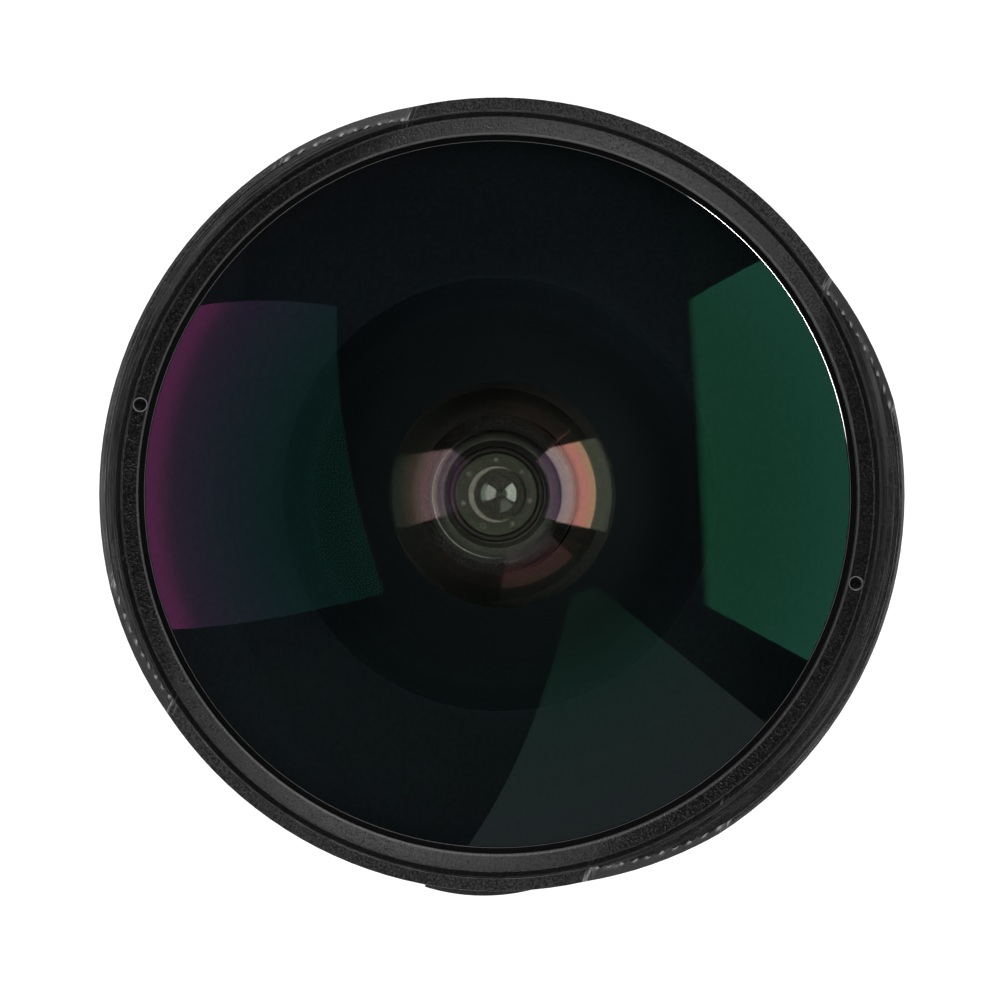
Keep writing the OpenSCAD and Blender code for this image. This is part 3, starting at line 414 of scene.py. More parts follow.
def ring_highlight_and_rims(t):
    """A painted highlight on the ring's inner edge, where its chamfer catches light, and bright rims round its two
    spanner holes.
    """
    inner = t.spread(radius_of(t), RING_INNER_R, RING_INNER_R + 0.1, 0.3, 0.0)
    a = math.radians(SPANNER_ANGLE)
    along = t.math("ABSOLUTE", distance_along(t, Vector((math.cos(a), math.sin(a), 0))))
    along = t.math("SUBTRACT", along, SPANNER_CIRCLE)
    aside = distance_along(t, Vector((-math.sin(a), math.cos(a), 0)))
    reach = t.math("SQRT", t.math("ADD", t.times(along, along), t.times(aside, aside)))
    rim = t.spread(t.math("ABSOLUTE", t.math("SUBTRACT", reach, SPANNER_R)), 0.03, 0.08, 0.8, 0.0)
    return t.math("MAXIMUM", inner, rim)


print("worn places ready")

# %% [markdown]
# ## The anodised finishes
# One recipe gives all the black metal; only colour, grain and wear change. Anisotropy stretches the highlight on the
# ring. The surfaces round the pupil are lighter than black metal is, because the glass of this model passes less light
# to them than real glass would.

# %% Anodised finishes
anodised("hood_alloy", (0.008, 0.008, 0.0085), roughness=0.48, grain_scale=4600.0, grain_depth=0.05 * MM,
         edge_radius=0.1 * MM, wear=0.4, grit=0.7, gloss=0.35, sparkle=0.1, scuffs_and_highlights=hood_scuffs)
anodised("black_alloy", (0.014, 0.014, 0.015), roughness=0.4, grain_scale=6000.0, grain_depth=0.015 * MM,
         edge_radius=0.1 * MM, wear=0.5, turned=9000.0)
# The ring's extra mask paints a highlight on its inner edge and bright rims round its holes.
anodised("ring_alloy", (0.012, 0.012, 0.0128), roughness=0.5, grain_scale=4400.0, grain_depth=0.12 * MM,
         edge_radius=0.02 * MM, wear=0.0, grit=0.7, anisotropy=0.9, gloss=0.8, sparkle=0.12, scuffs_and_highlights=ring_highlight_and_rims)
anodised("inner_alloy", (0.004, 0.004, 0.0045), roughness=0.6, grain_scale=5200.0, grain_depth=0.02 * MM,
         edge_radius=0.05 * MM, wear=0.15)
anodised("light_trap", (0.22, 0.225, 0.23), roughness=0.75, grain_scale=5200.0, grain_depth=0.02 * MM,
         edge_radius=0.03 * MM, wear=0.03, gloss=0.1)
anodised("cup_alloy", (0.06, 0.062, 0.056), roughness=0.7, grain_scale=5200.0, grain_depth=0.02 * MM,
         edge_radius=0.03 * MM, wear=0.03, gloss=0.1)
anodised("plate_alloy", (0.08, 0.09, 0.077), roughness=0.55, grain_scale=5200.0, grain_depth=0.01 * MM,
         edge_radius=0.05 * MM, wear=0.03, grit=0.3, gloss=0.05)
print("anodised finishes:", list(materials))

# %% [markdown]
# ## Bright metal
# The flange is satin chrome over brass, the helicoid is turned brass, the screws are blackened steel. One helper makes
# them all: a metallic Principled surface whose fine lines run round the axis, as a lathe leaves them.


# %% Bright metal
def turned_metal(name, colour, roughness, line_scale, depth, wear=0.4):
    """Metal with lathe lines along the axis, smudges in its gloss and lighter edges."""
    t = finish_tree(name)
    place = t.place()
    lines = t.noise(t.height_of(place), line_scale, 3.0)
    smudge = t.noise(place, 160.0, 5.0)
    edges, rounded = edge_mask(t, 0.08 * MM, 0.02, 0.2)
    bright = (*(min(1.0, c * 1.5 + 0.05) for c in colour), 1)
    tone = t.ramp(smudge, [(0.3, *(c * 0.8 for c in colour)), (0.7, *colour)])
    tone = t.mix(t.math("MULTIPLY", edges, wear), tone, bright)
    bump = t.add("Bump", {"Height": lines, "Normal": rounded, "Strength": 0.5, "Distance": depth})
    rough = t.spread(smudge, 0.3, 0.7, roughness - 0.05, roughness + 0.08)
    t.end(t.add("BsdfPrincipled", {"Base Color": tone, "Metallic": 1.0, "Normal": bump, "Roughness": rough}))


turned_metal("bright_alloy", (0.62, 0.62, 0.64), roughness=0.34, line_scale=7000.0, depth=0.01 * MM)
turned_metal("chrome", (0.68, 0.68, 0.69), roughness=0.24, line_scale=9000.0, depth=0.004 * MM)
turned_metal("brass", (0.66, 0.49, 0.22), roughness=0.3, line_scale=7000.0, depth=0.01 * MM)
turned_metal("screw_steel", (0.16, 0.16, 0.17), roughness=0.34, line_scale=6000.0, depth=0.006 * MM, wear=0.8)
turned_metal("rivet_steel", (0.6, 0.62, 0.6), roughness=0.3, line_scale=3000.0, depth=0.002 * MM)
turned_metal("blade_steel", (0.035, 0.036, 0.038), roughness=0.4, line_scale=3000.0, depth=0.003 * MM)
print("finishes:", len(materials))

# %% [markdown]
# ## Rubber, enamel and polish
# Rubber, paint and the fill of the numbers are one recipe too: a plain colour, a little mottled, with a fine skin. The
# rim, hollow and haze paints are light instead of black: a painted glow for the faint scattered light in the glass.
# Two narrow beads are polished. The photograph shows them bright on one side only, so a highlight is painted into
# their colour on that side.


# %% Rubber, enamel and polish
def moulded(name, colour, roughness, scale, depth, gloss=0.5, shade=None):
    """Rubber or enamel: a plain body colour with mottling and a fine skin. Shade is a function that darkens it."""
    t = finish_tree(name)
    skin = t.noise(t.place(), scale, 4.0)
    tone = t.ramp(skin, [(0.3, *(c * 0.75 for c in colour)), (0.7, *colour)])
    if shade:
        tone = t.tinted(tone, shade(t))
    bump = t.add("Bump", {"Height": skin, "Strength": 0.4, "Distance": depth})
    rough = t.spread(skin, 0.3, 0.7, roughness - 0.05, roughness + 0.05)
    t.end(t.add("BsdfPrincipled", {"Base Color": tone, "Normal": bump, "Specular IOR Level": gloss,
                                   "Roughness": rough}))


def matt_paint_and_glow(name, colour, shade=None):
    """The dull paint on the ground rims of the glass; where it is light, it is a painted glow for scattered light."""
    moulded(name, colour, 0.7, 2500.0, 0.01 * MM, 0.2, shade)


def bead_with_painted_highlight(name, dark, bright, angle, low, high, roughness, metal):
    """A polished bead whose colour holds a painted highlight: bright where it lies towards an angle of the picture,
    between low and high millimetres.
    """
    t = finish_tree(name)
    tone = t.ramp(towards(t, angle, low, high), [(0.0, dark, dark, dark), (1.0, bright, bright, bright)])
    t.end(t.add("BsdfPrincipled", {"Base Color": tone, "Metallic": metal, "Roughness": roughness}))


moulded("seal_rubber", (0.001, 0.001, 0.001), 0.8, 3000.0, 0.01 * MM, 0.1)
moulded("red_bead", (0.55, 0.02, 0.012), 0.18, 900.0, 0.004 * MM)
moulded("white_fill", (0.78, 0.78, 0.75), 0.45, 4000.0, 0.01 * MM)
moulded("orange_fill", (0.75, 0.2, 0.02), 0.45, 4000.0, 0.01 * MM)
matt_paint_and_glow("edge_paint", (0.003, 0.003, 0.003))
# Light blue-grey, not black: the rim's paint is a painted glow, seen faintly through the dome.
matt_paint_and_glow("rim_painted_glow", (0.14, 0.19, 0.23))
# Near-white paint on the second element: painted haze round the pupil.
matt_paint_and_glow("painted_haze", (0.84, 0.84, 0.82))
# The bevel mirrors the right window; its colour is a painted highlight, bright towards the upper right only.
bead_with_painted_highlight("bevel_painted_highlight", dark=0.004, bright=0.2, angle=33, low=30.4, high=32.0, roughness=0.08, metal=1.0)
# The bead round the third lens is matt grey with a painted highlight on its left side.
bead_with_painted_highlight("third_bead_painted_highlight", dark=0.06, bright=0.85, angle=185, low=0.0, high=7.0, roughness=0.3, metal=0.0)
print("finishes:", len(materials))

# %% [markdown]
# ## Coated glass
# A coated lens sends back a few per cent of the light, tinted, and bends the rest. Blender's Glass shader has no tint
# for its mirror alone, so Refraction and Glossy are mixed by hand. Lamps' shadow rays pass straight through, so that
# the parts behind the glass are lit without slow caustics. The tint is drawn across the glass in the lens's own space.

# %% Coated glass
GLASS_IOR = 1.6


def coated(name, clear, share, tint, roughness=0.03, lean=None):
    """Glass that passes the colour clear and mirrors a share of the light in a tint. Each may be a function that makes
    the value; lean is one for how far the mirror tips outwards, where it is more curved than the glass."""
    t = finish_tree(name)
    clear = clear(t) if callable(clear) else (*clear, 1)
    bend = t.add("BsdfRefraction", {"Color": clear, "IOR": GLASS_IOR, "Roughness": 0.0})
    sockets = {"Color": tint(t) if callable(tint) else (*tint, 1), "Roughness": roughness}
    if lean:
        out = t.vector("NORMALIZE", t.vector("MULTIPLY", t.place(), (1, 1, 0)))
        out = t.add("VectorMath", {0: out, "Scale": lean(t)}, operation="SCALE")
        sockets["Normal"] = t.vector("NORMALIZE", t.vector("ADD", out, (0, 0, 1)))
    mirror = t.add("BsdfAnisotropic", sockets)
    body = t.add("MixShader", {0: share(t) if callable(share) else share, 1: bend, 2: mirror})
    lamp_ray = t.add("LightPath").node.outputs["Is Shadow Ray"]
    through = t.add("BsdfTransparent", {"Color": clear})
    t.end(t.add("MixShader", {0: lamp_ray, 1: body, 2: through}))


print("glass recipe ready")

# %% [markdown]
# ## Colours of the dome
# Several thin layers make the tint change from the middle to the edge, so it is a ramp over the radius. The dome turns
# from green to purple on its left, and is grey-green below. Its green stops at a straight line, which gives the right
# window its inner edge. The colours were fitted to the photograph, in millimetres from the axis.


# %% Colours of the dome
def dome_clear(t):
    """Clear over the hollow; denser over the painted rim, where there is nothing to see."""
    return t.ramp(t.spread(radius_of(t), 17.6, 31.0), [
        (0.0, 0.6, 0.62, 0.6), (0.194, 0.2, 0.205, 0.2), (0.4, 0.205, 0.21, 0.205), (0.57, 0.22, 0.226, 0.22),
        (0.78, 0.245, 0.252, 0.245), (1.0, 0.265, 0.272, 0.265)])


def hollow_shade(t):
    """Lightens the hollow's painted glow towards its rim as far as the dome above it gets denser, so that no step
    shows.
    """
    levels = [(0.06, 0.05), (0.29, 0.06), (0.51, 0.079), (0.66, 0.11), (0.81, 0.18), (0.91, 0.31), (1.0, 0.63)]
    return t.ramp(t.spread(radius_of(t), 11.0, 19.0), [(x, v, v, v) for x, v in levels])


def dome_tint(t):
    """Green on the right, purple on the left, grey-green below."""
    r = t.spread(radius_of(t), 14.0, 34.0)
    green = t.ramp(r, [(0.0, 0.018, 0.17, 0.07), (0.55, 0.02, 0.18, 0.09), (1.0, 0.045, 0.24, 0.16)])
    purple = t.ramp(r, [(0.0, 0.005, 0.065, 0.045), (0.38, 0.012, 0.07, 0.065), (0.52, 0.025, 0.068, 0.09),
                        (0.66, 0.055, 0.065, 0.11), (0.755, 0.08, 0.05, 0.125), (0.845, 0.14, 0.055, 0.15),
                        (0.93, 0.45, 0.08, 0.31), (1.0, 0.55, 0.08, 0.4)])
    low = t.ramp(r, [(0.0, 0.03, 0.16, 0.08), (0.25, 0.1, 0.36, 0.24), (0.5, 0.2, 0.42, 0.34),
                     (1.0, 0.34, 0.4, 0.43)])
    green = t.mix(towards(t, 2.75, 18.2, 19.0), grey(0.0), green)
    tint = t.mix(towards(t, 180, 4.0, 10.0), green, purple)
    below = t.times(towards(t, 235, -0.8, 0.8), towards(t, 290, 6.5, 8.5))
    return t.mix(below, tint, low)


# The outer hollow's paint is a painted glow as well, shaded down towards the axis.
matt_paint_and_glow("hollow_painted_glow", (0.235, 0.325, 0.398), hollow_shade)
coated("dome_coat", dome_clear, 0.06, dome_tint, 0.02)
print("dome coat and hollow paint made")

# %% [markdown]
# ## Colours of the hollow and the pupil
# The hollow behind the dome has salmon and gold bands on the right, weaker mauve ones on the left and a dim patch
# below. The mirrored windows come out too wide there, so past the lines where they should end the coat sends back a
# hundredth, about as much less as the room is darker than a lamp. The pupil mirrors both windows small and bright.

# %% Colours of the hollow and the pupil
# Each row: side, then angle and distance of the line where a window should end, and of the line where it does end.
WINDOW_ENDS = [
    (0, 102.1, 3.22, 129.6, 0.5), (0, 258.1, 1.4, 246.5, 1.3),
    (180, 97.9, 4.71, 64.2, 1.95), (180, 286.7, 0.3, 289.2, 1.3),
]
PAST_THE_END = 0.01


def hollow_tint(t):
    """The bands of colour round the pupil, by radius, side and the ends of the mirrored windows."""
    r = t.spread(radius_of(t), 3.74, 11.22)
    bands = t.ramp(r, [
        (0.05, 0.0, 0.0, 0.0), (0.065, 0.1, 0.055, 0.1), (0.206, 0.12, 0.062, 0.115), (0.225, 0.5, 0.38, 0.42),
        (0.325, 0.64, 0.42, 0.41), (0.40, 0.5, 0.22, 0.2), (0.4625, 0.95, 0.33, 0.3), (0.525, 0.87, 0.34, 0.27),
        (0.581, 0.74, 0.4, 0.255), (0.619, 0.7, 0.42, 0.26), (0.6375, 0.11, 0.1, 0.07),
        (0.725, 0.085, 0.095, 0.07), (0.8, 0.08, 0.08, 0.06), (0.84, 0.0, 0.0, 0.0)])
    left = t.ramp(r, [
        (0.2, 0.5, 0.5, 0.5), (0.287, 0.27, 0.19, 0.36), (0.337, 0.9, 1.0, 1.0), (0.385, 0.6, 0.8, 1.0),
        (0.434, 0.48, 0.7, 0.9), (0.484, 0.33, 0.58, 0.65), (0.533, 0.29, 0.43, 0.55), (0.583, 0.26, 0.3, 0.4),
        (0.622, 0.12, 0.14, 0.18), (0.642, 0.8, 0.6, 0.7), (0.69, 1.0, 0.65, 0.68), (0.73, 0.4, 0.4, 0.35),
        (0.779, 0.2, 0.38, 0.35), (0.829, 0.45, 0.65, 0.75)])
    side = t.mix(towards(t, 180, -2.0, 2.0), grey(1.0), left)
    below = t.times(towards(t, 285, 3.0, 4.0), towards(t, 235, 0.3, 0.6))
    side = t.mix(below, side, (0.4, 0.36, 0.44, 1))
    for way, edge, start, end_edge, end in WINDOW_ENDS:
        past = t.times(towards(t, edge, start - 0.1, start + 0.1),
                       towards(t, end_edge + 180, -end - 0.1, -end), towards(t, way, 1.0, 1.2))
        side = t.mix(past, side, grey(PAST_THE_END))
    return t.tinted(bands, side)


def hollow_lean(t):
    """How far the hollow's mirror tips: fast growing near the axis, slowly further out."""
    r = radius_of(t)
    return t.math("MINIMUM", t.math("MULTIPLY", r, 0.0846), t.math("ADD", t.math("MULTIPLY", r, 0.0234), 0.2515))


def pupil_lean(t):
    """How far the pupil's mirror tips, so that both windows show in it."""
    return t.math("ADD", t.math("MULTIPLY", radius_of(t), 0.13), 0.337)


def pupil_share(t):
    """A strong mirror over the pupil only."""
    return t.spread(radius_of(t), 2.6, 2.8, 0.8, 0.03)


def pupil_tint(t):
    """The two bright spots in the pupil, the left one with a greenish outer half."""
    r = t.spread(radius_of(t), 0.0, 3.0)
    right = t.ramp(r, [(0.2, 0.1, 0.12, 0.1), (0.28, 0.9, 1.0, 0.92), (0.86, 0.9, 1.0, 0.92), (0.92, 0.3, 0.2, 0.3)])
    left = t.ramp(r, [(0.14, 0.1, 0.12, 0.1), (0.18, 1.0, 1.0, 0.95), (0.48, 1.0, 1.0, 0.95), (0.54, 0.36, 0.5, 0.4),
                      (0.86, 0.36, 0.5, 0.4), (0.92, 0.3, 0.2, 0.3)])
    return t.mix(towards(t, 180, -0.1, 0.1), right, left)


coated("hollow_coat", (0.95, 0.95, 0.93), 0.4, hollow_tint, 0.05, hollow_lean)
coated("pupil_coat", (0.96, 0.96, 0.95), pupil_share, pupil_tint, 0.01, pupil_lean)
coated("second_coat", (0.96, 0.96, 0.95), 0.03, (0.55, 0.2, 0.6))
coated("third_coat", (0.96, 0.95, 0.93), 0.06, (0.6, 0.3, 0.5))
coated("rear_coat", (0.985, 0.98, 0.965), 0.05, (0.75, 1.0, 0.9))
print("coatings done, finishes:", len(materials))

# %% [markdown]
# ## The glass itself
# A lens is a solid of revolution: spherical faces, a ground rim, and paint on the rim to keep light from straying.
# The CAD glass would do for shape, but a lathe with its own material per face gives smooth windows in the dome and
# lets the paint and the coatings part exactly at the edge. Each lathe stands for its CAD node.

# %% Lathe for the glass
SIDES = 160
glass_pieces = []


def sphere_arc(curve, apex, rim, steps, towards_front):
    """Points (radius, height) from the axis out to rim, on a sphere whose apex points to the front or to the back."""
    last = math.asin(rim / curve)
    sign = -1 if towards_front else 1
    return [(curve * math.sin(last * i / steps), apex + sign * curve * (1 - math.cos(last * i / steps)))
            for i in range(steps + 1)]


def turn_ring(bm, r, z, sides):
    """The vertices of one ring of radius r at height z, in mm; on the axis a single vertex."""
    if r < 1e-6:
        return [bm.verts.new((0, 0, z * MM))]
    angles = (2 * math.pi * i / sides for i in range(sides))
    return [bm.verts.new((r * MM * math.cos(a), r * MM * math.sin(a), z * MM)) for a in angles]


def lathe(name, runs, sides=SIDES):
    """Turns runs of (radius, height) points in mm about Z. Each run has its own material; the runs' ends are sharp."""
    bm = bmesh.new()
    rings, sharp, faces_of = [], [], []
    for slot_index, points in enumerate(runs):
        for k, (r, z) in enumerate(points):
            if rings and k == 0:
                sharp.append(len(rings) - 1)
                continue
            rings.append(turn_ring(bm, r, z, sides))
            if len(rings) > 1:
                faces_of.append((rings[-2], rings[-1], slot_index))
    for one, two, slot_index in faces_of:
        for i in range(sides):
            j = (i + 1) % sides
            if len(one) == 1:
                corners = [one[0], two[i], two[j]]
            elif len(two) == 1:
                corners = [one[i], two[0], one[j]]
            else:
                corners = [one[i], two[i], two[j], one[j]]
            face = bm.faces.new(corners)
            face.material_index = slot_index
            face.smooth = True
    for k in sharp:
        ring = rings[k]
        for i in range(len(ring)):
            edge = bm.edges.get((ring[i], ring[(i + 1) % len(ring)]))
            if edge:
                edge.smooth = False
    bmesh.ops.remove_doubles(bm, verts=bm.verts, dist=1e-7)
    bmesh.ops.recalc_face_normals(bm, faces=bm.faces)
    mesh = bpy.data.meshes.new(name)
    bm.to_mesh(mesh)
    bm.free()
    obj = bpy.data.objects.new(name, mesh)
    scene.collection.objects.link(obj)
    return obj


def lens_piece(name, node, runs, finishes):
    """A lathe-turned lens that rides on the front block in place of its CAD node."""
    obj = lathe(name, runs)
    for finish in finishes:
        obj.data.materials.append(materials[finish])
    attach(obj, "front_block")
    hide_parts(node)
    glass_pieces.append(obj)
    print(name, len(obj.data.polygons), "faces")


print("lathe ready")

# %% [markdown]
# ## Dished front elements
# The two front elements are menisci: a dome in front, a deep hollow behind and a flat ground rim. The paint starts
# two hundredths of a millimetre above the seat, so that glass and metal do not share a face.

# %% Front and second element
LIFT = 0.02
RIM_STEPS = 56


def dished(r, apex, curve, hollow_apex, hollow, back, clear_r):
    """Runs for a meniscus: dome, painted rim and seat, painted outer part of the hollow, clear part of the hollow."""
    front = sphere_arc(curve, apex, r, RIM_STEPS, True)
    hollow_rim = math.sqrt(hollow ** 2 - (back - (hollow_apex - hollow)) ** 2)
    inside = sphere_arc(hollow, hollow_apex, hollow_rim, RIM_STEPS, True)[::-1]
    dark = sum(p[0] > clear_r for p in inside)
    return [front, [front[-1], (r, back), inside[0]], inside[:dark + 1], inside[dark:]]


# The rims and outer hollows of both front elements carry the painted glow instead of black paint.
front_runs = dished(r=35.0, apex=67.629, curve=54.0, hollow_apex=64.629, hollow=22.0, back=53.701 + LIFT, clear_r=10.4)
lens_piece("front_dome", "front_element", front_runs, ["dome_coat", "rim_painted_glow", "hollow_painted_glow", "hollow_coat"])
second_runs = dished(r=17.0, apex=57.601, curve=32.0, hollow_apex=55.601, hollow=13.0, back=49.501 + LIFT, clear_r=8.4)
lens_piece("second_meniscus", "second_element", second_runs, ["pupil_coat", "painted_haze", "painted_haze", "second_coat"])

# %% [markdown]
# ## Inner elements
# Behind the second element come a thick convex lens in front of the iris, and behind the iris a cemented pair and two
# single lenses. They only show through the dome and from behind, yet they make the pupil look deep.

# %% Inner elements
ARC_STEPS = 24
REAR_R = 8.0
CEMENT_CURVE, CEMENT_Z = 13.0, 30.596


def convex(r, apex, curve, back, back_curve):
    """Runs for a lens that bulges on both sides: front, painted rim, back."""
    front = sphere_arc(curve, apex, r, ARC_STEPS, True)
    rear = sphere_arc(back_curve, back, r, ARC_STEPS, False)[::-1]
    return [front, [front[-1], rear[0]], rear]


lens_piece("third_lens", "third_element", convex(r=7.9, apex=48.003, curve=22.0, back=43.303, back_curve=40.0),
           ["third_coat", "edge_paint", "third_coat"])
cement = [(r, z - LIFT) for r, z in sphere_arc(CEMENT_CURVE, CEMENT_Z, REAR_R, ARC_STEPS, False)]
fifth_back = sphere_arc(40.0, 29.396, REAR_R, ARC_STEPS, False)[::-1]
rear_runs = {
    "fourth": convex(REAR_R, apex=36.6, curve=15.0, back=CEMENT_Z, back_curve=CEMENT_CURVE),
    "fifth": [cement, [cement[-1], fifth_back[0]], fifth_back],
    "sixth": convex(REAR_R, apex=26.996, curve=30.0, back=22.595, back_curve=25.0),
    "seventh": convex(REAR_R, apex=20.595, curve=60.0, back=17.392, back_curve=45.0),
}
for which, runs in rear_runs.items():
    lens_piece(which + "_lens", which + "_element", runs, ["rear_coat", "edge_paint", "rear_coat"])

# %% [markdown]
# ## Small turned pieces behind and round the glass
# Seven rivets hold the iris plate and show as dots round the pupil, and a thin raised ring lies outside them. The
# dome's edge has a narrow polished bevel whose colour holds a painted highlight on the right, where it shows as a
# bright hairline. A bead with a painted highlight on its left goes round the third lens. All are lathes too.

# %% Rivets, plate ring, bevel and bead
RIVET_CIRCLE, RIVET_PHASE, RIVETS = 4.8, 24.0, 7
PLATE_TOP, SEAT = 43.0, 0.005
small_pieces = []


def turned_piece(name, runs, finishes, sides=SIDES, spots=((0, 0),)):
    """One piece from closed runs, copied to each spot (x, y) in mm."""
    obj = lathe(name, runs, sides)
    single = obj.data.copy()
    bm = bmesh.new()
    for x, y in spots:
        first = len(bm.verts)
        bm.from_mesh(single)
        bm.verts.ensure_lookup_table()
        for v in bm.verts[first:]:
            v.co += Vector((x * MM, y * MM, 0))
    bm.to_mesh(obj.data)
    bm.free()
    bpy.data.meshes.remove(single)
    for finish in finishes:
        obj.data.materials.append(materials[finish])
    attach(obj, "front_block")
    small_pieces.append(obj)
    print(name, len(obj.data.polygons), "faces")


def on_plate(points):
    """Points whose heights count from the top of the iris plate."""
    return [(r, PLATE_TOP + z) for r, z in points]


def bead(r, z, tube):
    """A closed round section at radius r and height z."""
    return [(r + tube * math.cos(math.pi * k / 6), z + tube * math.sin(math.pi * k / 6)) for k in range(13)]


rivet_angles = (math.radians(RIVET_PHASE + 360 * i / RIVETS) for i in range(RIVETS))
rivet_spots = [(RIVET_CIRCLE * math.cos(a), RIVET_CIRCLE * math.sin(a)) for a in rivet_angles]
head = on_plate([(0.0, 0.24), (0.1, 0.23), (0.2, 0.19), (0.25, 0.12)])
collar = head[-1:] + on_plate([(0.28, 0.03), (0.44, 0.03), (0.46, SEAT), (0.0, SEAT)])
turned_piece("plate_rivets", [head, collar], ["rivet_steel", "light_trap"], 20, rivet_spots)
lip = on_plate([(5.75, SEAT), (5.8, 0.2), (6.9, 0.2), (6.95, SEAT), (5.75, SEAT)])
turned_piece("plate_ring", [lip], ["inner_alloy"])
bevel = [(33.5, 56.04), (33.6, 55.965), (33.6, 55.84), (33.5, 55.93), (33.5, 56.04)]
# The bright sides of the bevel and of the bead are painted highlights.
turned_piece("dome_bevel", [bevel[:2], bevel[1:]], ["bevel_painted_highlight", "seal_rubber"], 240)
turned_piece("third_bead", [bead(8.86, 48.24, 0.1)], ["third_bead_painted_highlight"], 120)

# %% [markdown]
# ## What each lamp lights
# In a studio, black flags keep a lamp off the parts that it should not light. Light linking does the same: the key
# lamps leave out the glass, where they would show as spots, the windows leave out the front ring, and the iris lamp
# lights the inside only.


# %% Light linking
def lamp_group(name, receivers, state):
    """A collection of objects that a lamp is to light (INCLUDE) or to leave out (EXCLUDE)."""
    group = bpy.data.collections.new(name)
    for receiver in receivers:
        group.objects.link(receiver)
    for item in group.collection_objects:
        item.light_linking.link_state = state
    return group


unlit = lamp_group("glass_out_of_keys", glass_pieces, "EXCLUDE")
for lamp in metal_keys:
    lamp.light_linking.receiver_collection = unlit
shaded = lamp_group("ring_out_of_windows", [frame["nodes"]["front_retaining_ring"]], "EXCLUDE")
for lamp in windows:
    lamp.light_linking.receiver_collection = shaded
inside_nodes = [frame["nodes"][n] for n in ("iris_front_plate", "second_ring", "third_ring", "front_cell")]
iris_lamp.light_linking.receiver_collection = lamp_group("lit_by_iris_lamp", inside_nodes + small_pieces, "INCLUDE")
print("glass kept out of", [lamp.name for lamp in metal_keys])

# %% [markdown]
# ## Finishes on the CAD nodes
# The turned and milled pieces are right as CAD solids, so they stay and only take a finish. The record names a slot
# for every node; a few pieces inside get a finish of their own. Hood, ring and seal are hidden from mirror rays,
# because they would cover the windows' reflections near the edge of the dome, which the photograph shows.

# %% Dress the CAD nodes
BOUNCES = 32
OWN_FINISH = {"third_ring": "cup_alloy", "second_ring": "light_trap", "front_cell": "light_trap",
              "iris_front_plate": "plate_alloy", "iris_cam_ring": "inner_alloy"}
slot_of = {p["node"]: p["material_slot"] for p in frame["record"]["subparts"]}
for node, obj in frame["nodes"].items():
    finish = OWN_FINISH.get(node, slot_of[node])
    if finish == "coated_glass":
        continue
    for material_slot in obj.material_slots:
        material_slot.link = "OBJECT"
        material_slot.material = materials[finish]
for node in ("petal_hood", "front_retaining_ring", "front_seal"):
    frame["nodes"][node].visible_glossy = False
scene.cycles.max_bounces = BOUNCES
scene.cycles.transmission_bounces = BOUNCES
print("dressed", len(slot_of), "nodes")

# %% [markdown]
# ## Numbers and marks
# Stops, distances and depth marks are engraved and filled with paint. Text objects are flat, so each one is made into
# a mesh and every point is laid round the barrel: its x becomes an angle, its y a height along the axis.

# %% Marks laid round the barrel
FILL_DEPTH = 0.02 * MM
JOIN_DISTANCE = 0.0005 * MM


def lay_round(bm, mesh, angle, radius, height, quarter=False):
    """Adds a flat mesh to bm, laid on the barrel at angle degrees; quarter turns it on its side."""
    first = len(bm.verts)
    bm.from_mesh(mesh)
    bm.verts.ensure_lookup_table()
    for v in bm.verts[first:]:
        x, y, z = v.co
        if quarter:
            x, y = -y, x
        a = math.radians(angle) + x / radius
        v.co = ((radius + z) * math.cos(a), (radius + z) * math.sin(a), height + y)


def number_mesh(words, size):
    """A number as a flat mesh; size is in mm."""
    curve = bpy.data.curves.new("digits", "FONT")
    curve.body, curve.size, curve.extrude = words, size * MM, FILL_DEPTH
    curve.align_x = curve.align_y = "CENTER"
    flat = bpy.data.objects.new("digits", curve)
    scene.collection.objects.link(flat)
    mesh = bpy.data.meshes.new_from_object(flat.evaluated_get(bpy.context.evaluated_depsgraph_get()))
    bpy.data.objects.remove(flat)
    bpy.data.curves.remove(curve)
    return mesh


def tick_mesh(width, length):
    """A flat bar as a mesh; width and length are in mm."""
    bm = bmesh.new()
    bmesh.ops.create_cube(bm, size=1.0, matrix=Matrix.Diagonal((width * MM, length * MM, 2 * FILL_DEPTH, 1)))
    mesh = bpy.data.meshes.new("tick")
    bm.to_mesh(mesh)
    bm.free()
    return mesh


def marks(name, body, finish, radius, items):
    """One piece from (mesh, angle, height, quarter) items laid on a barrel of that radius."""
    bm = bmesh.new()
    for mesh, angle, height, quarter in items:
        lay_round(bm, mesh, angle, radius * MM, height * MM, quarter)
    bmesh.ops.remove_doubles(bm, verts=bm.verts, dist=JOIN_DISTANCE)
    mesh = bpy.data.meshes.new(name)
    bm.to_mesh(mesh)
    bm.free()
    obj = bpy.data.objects.new(name, mesh)
    mesh.materials.append(materials[finish])
    scene.collection.objects.link(obj)
    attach(obj, body)
    print(name, len(items), "marks,", len(mesh.polygons), "faces")


print("marks ready to lay")

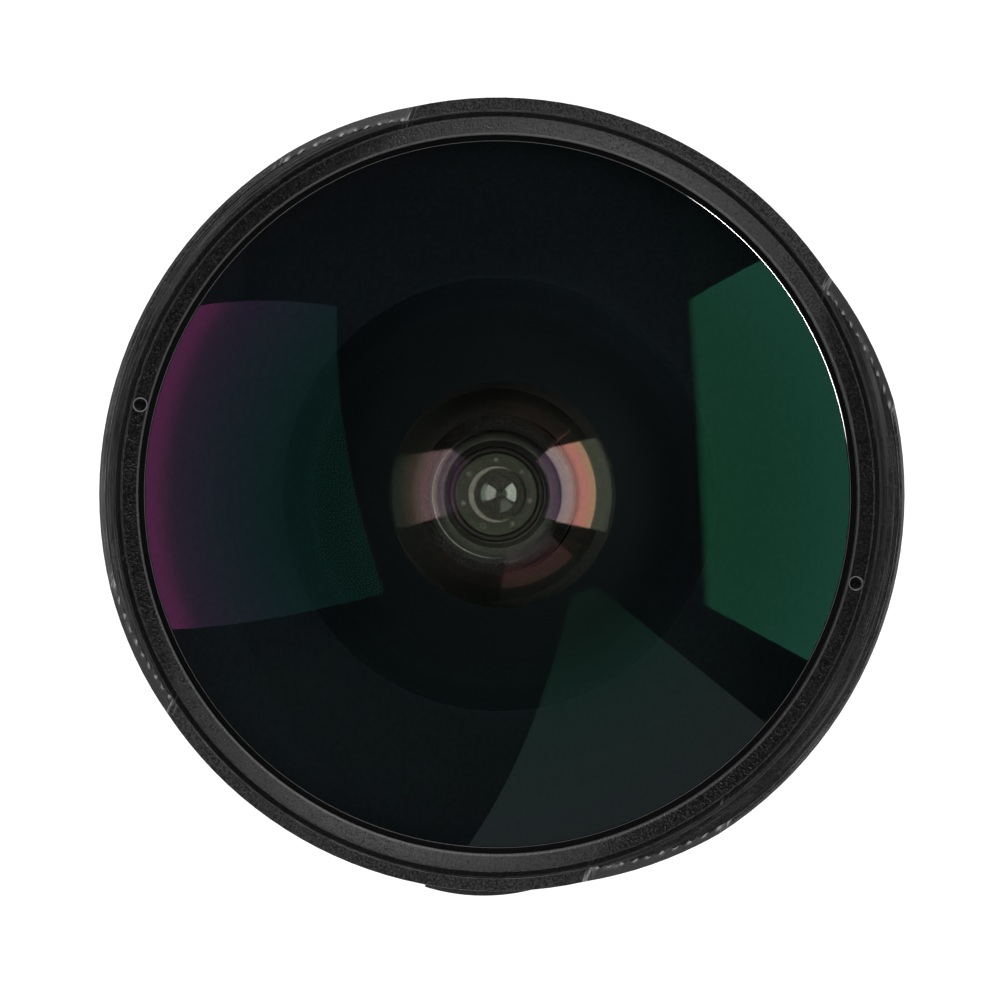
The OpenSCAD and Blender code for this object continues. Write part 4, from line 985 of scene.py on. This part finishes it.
# %% [markdown]
# ## Which marks go where
# Each ring carries its own scale, so its marks ride on that ring's body and turn with it. Angles count from the index
# line at the top of the lens. The distance scale begins with an 8 on its side, which stands for infinity.

# %% Stops, distances and depth marks
UP_ANGLE = 90
STOP_RING_R, FOCUS_RING_R, BARREL_R, COLLAR_R = 32.9, 33.4, 32.2, 32.5
STOP_STEP, STOP_Z = 7, 38.6
DISTANCE_Z, DISTANCE_TICK_Z = 31.7, 29.7
DEPTH_TICK_Z, DEPTH_NUMBER_Z = 15.7, 13.2
INDEX_Z, STOP_INDEX_Z, INDEX_WIDTH = 13.0, 35.65, 0.34
stops = ["2.8", "4", "5.6", "8", "11", "16", "22"]
distances = [("1", 26), ("0.5", 44), ("0.35", 62), ("0.25", 80), ("0.2", 98)]
depths = [("22", 24), ("16", 17), ("8", 9.5)]

stop_items = [(number_mesh(s, 2.1), UP_ANGLE - STOP_STEP * i, STOP_Z, False) for i, s in enumerate(stops)]
marks("stop_numbers", "aperture", "white_fill", STOP_RING_R, stop_items)

distance_items = [(number_mesh("8", 2.6), UP_ANGLE, DISTANCE_Z, True)]
distance_items += [(number_mesh(s, 2.3), UP_ANGLE - turn, DISTANCE_Z, False) for s, turn in distances]
distance_items += [(tick_mesh(0.22, 0.8), UP_ANGLE - turn, DISTANCE_TICK_Z, False)
                   for turn in [0] + [turn for _, turn in distances]]
marks("distance_numbers", "focus", "white_fill", FOCUS_RING_R, distance_items)

both_sides = [(words, UP_ANGLE + sign * turn) for words, turn in depths for sign in (-1, 1)]
depth_items = [(tick_mesh(0.2, 1.9), angle, DEPTH_TICK_Z, False) for _, angle in both_sides]
depth_items += [(number_mesh(words, 2.0), angle, DEPTH_NUMBER_Z, False) for words, angle in both_sides]
marks("depth_marks", "barrel", "white_fill", BARREL_R, depth_items)

index_items = [(tick_mesh(INDEX_WIDTH, 7.2), UP_ANGLE, INDEX_Z, False)]
marks("index_line", "barrel", "orange_fill", BARREL_R, index_items)
stop_index_items = [(tick_mesh(INDEX_WIDTH, 1.6), UP_ANGLE, STOP_INDEX_Z, False)]
marks("stop_index", "front_block", "orange_fill", COLLAR_R, stop_index_items)
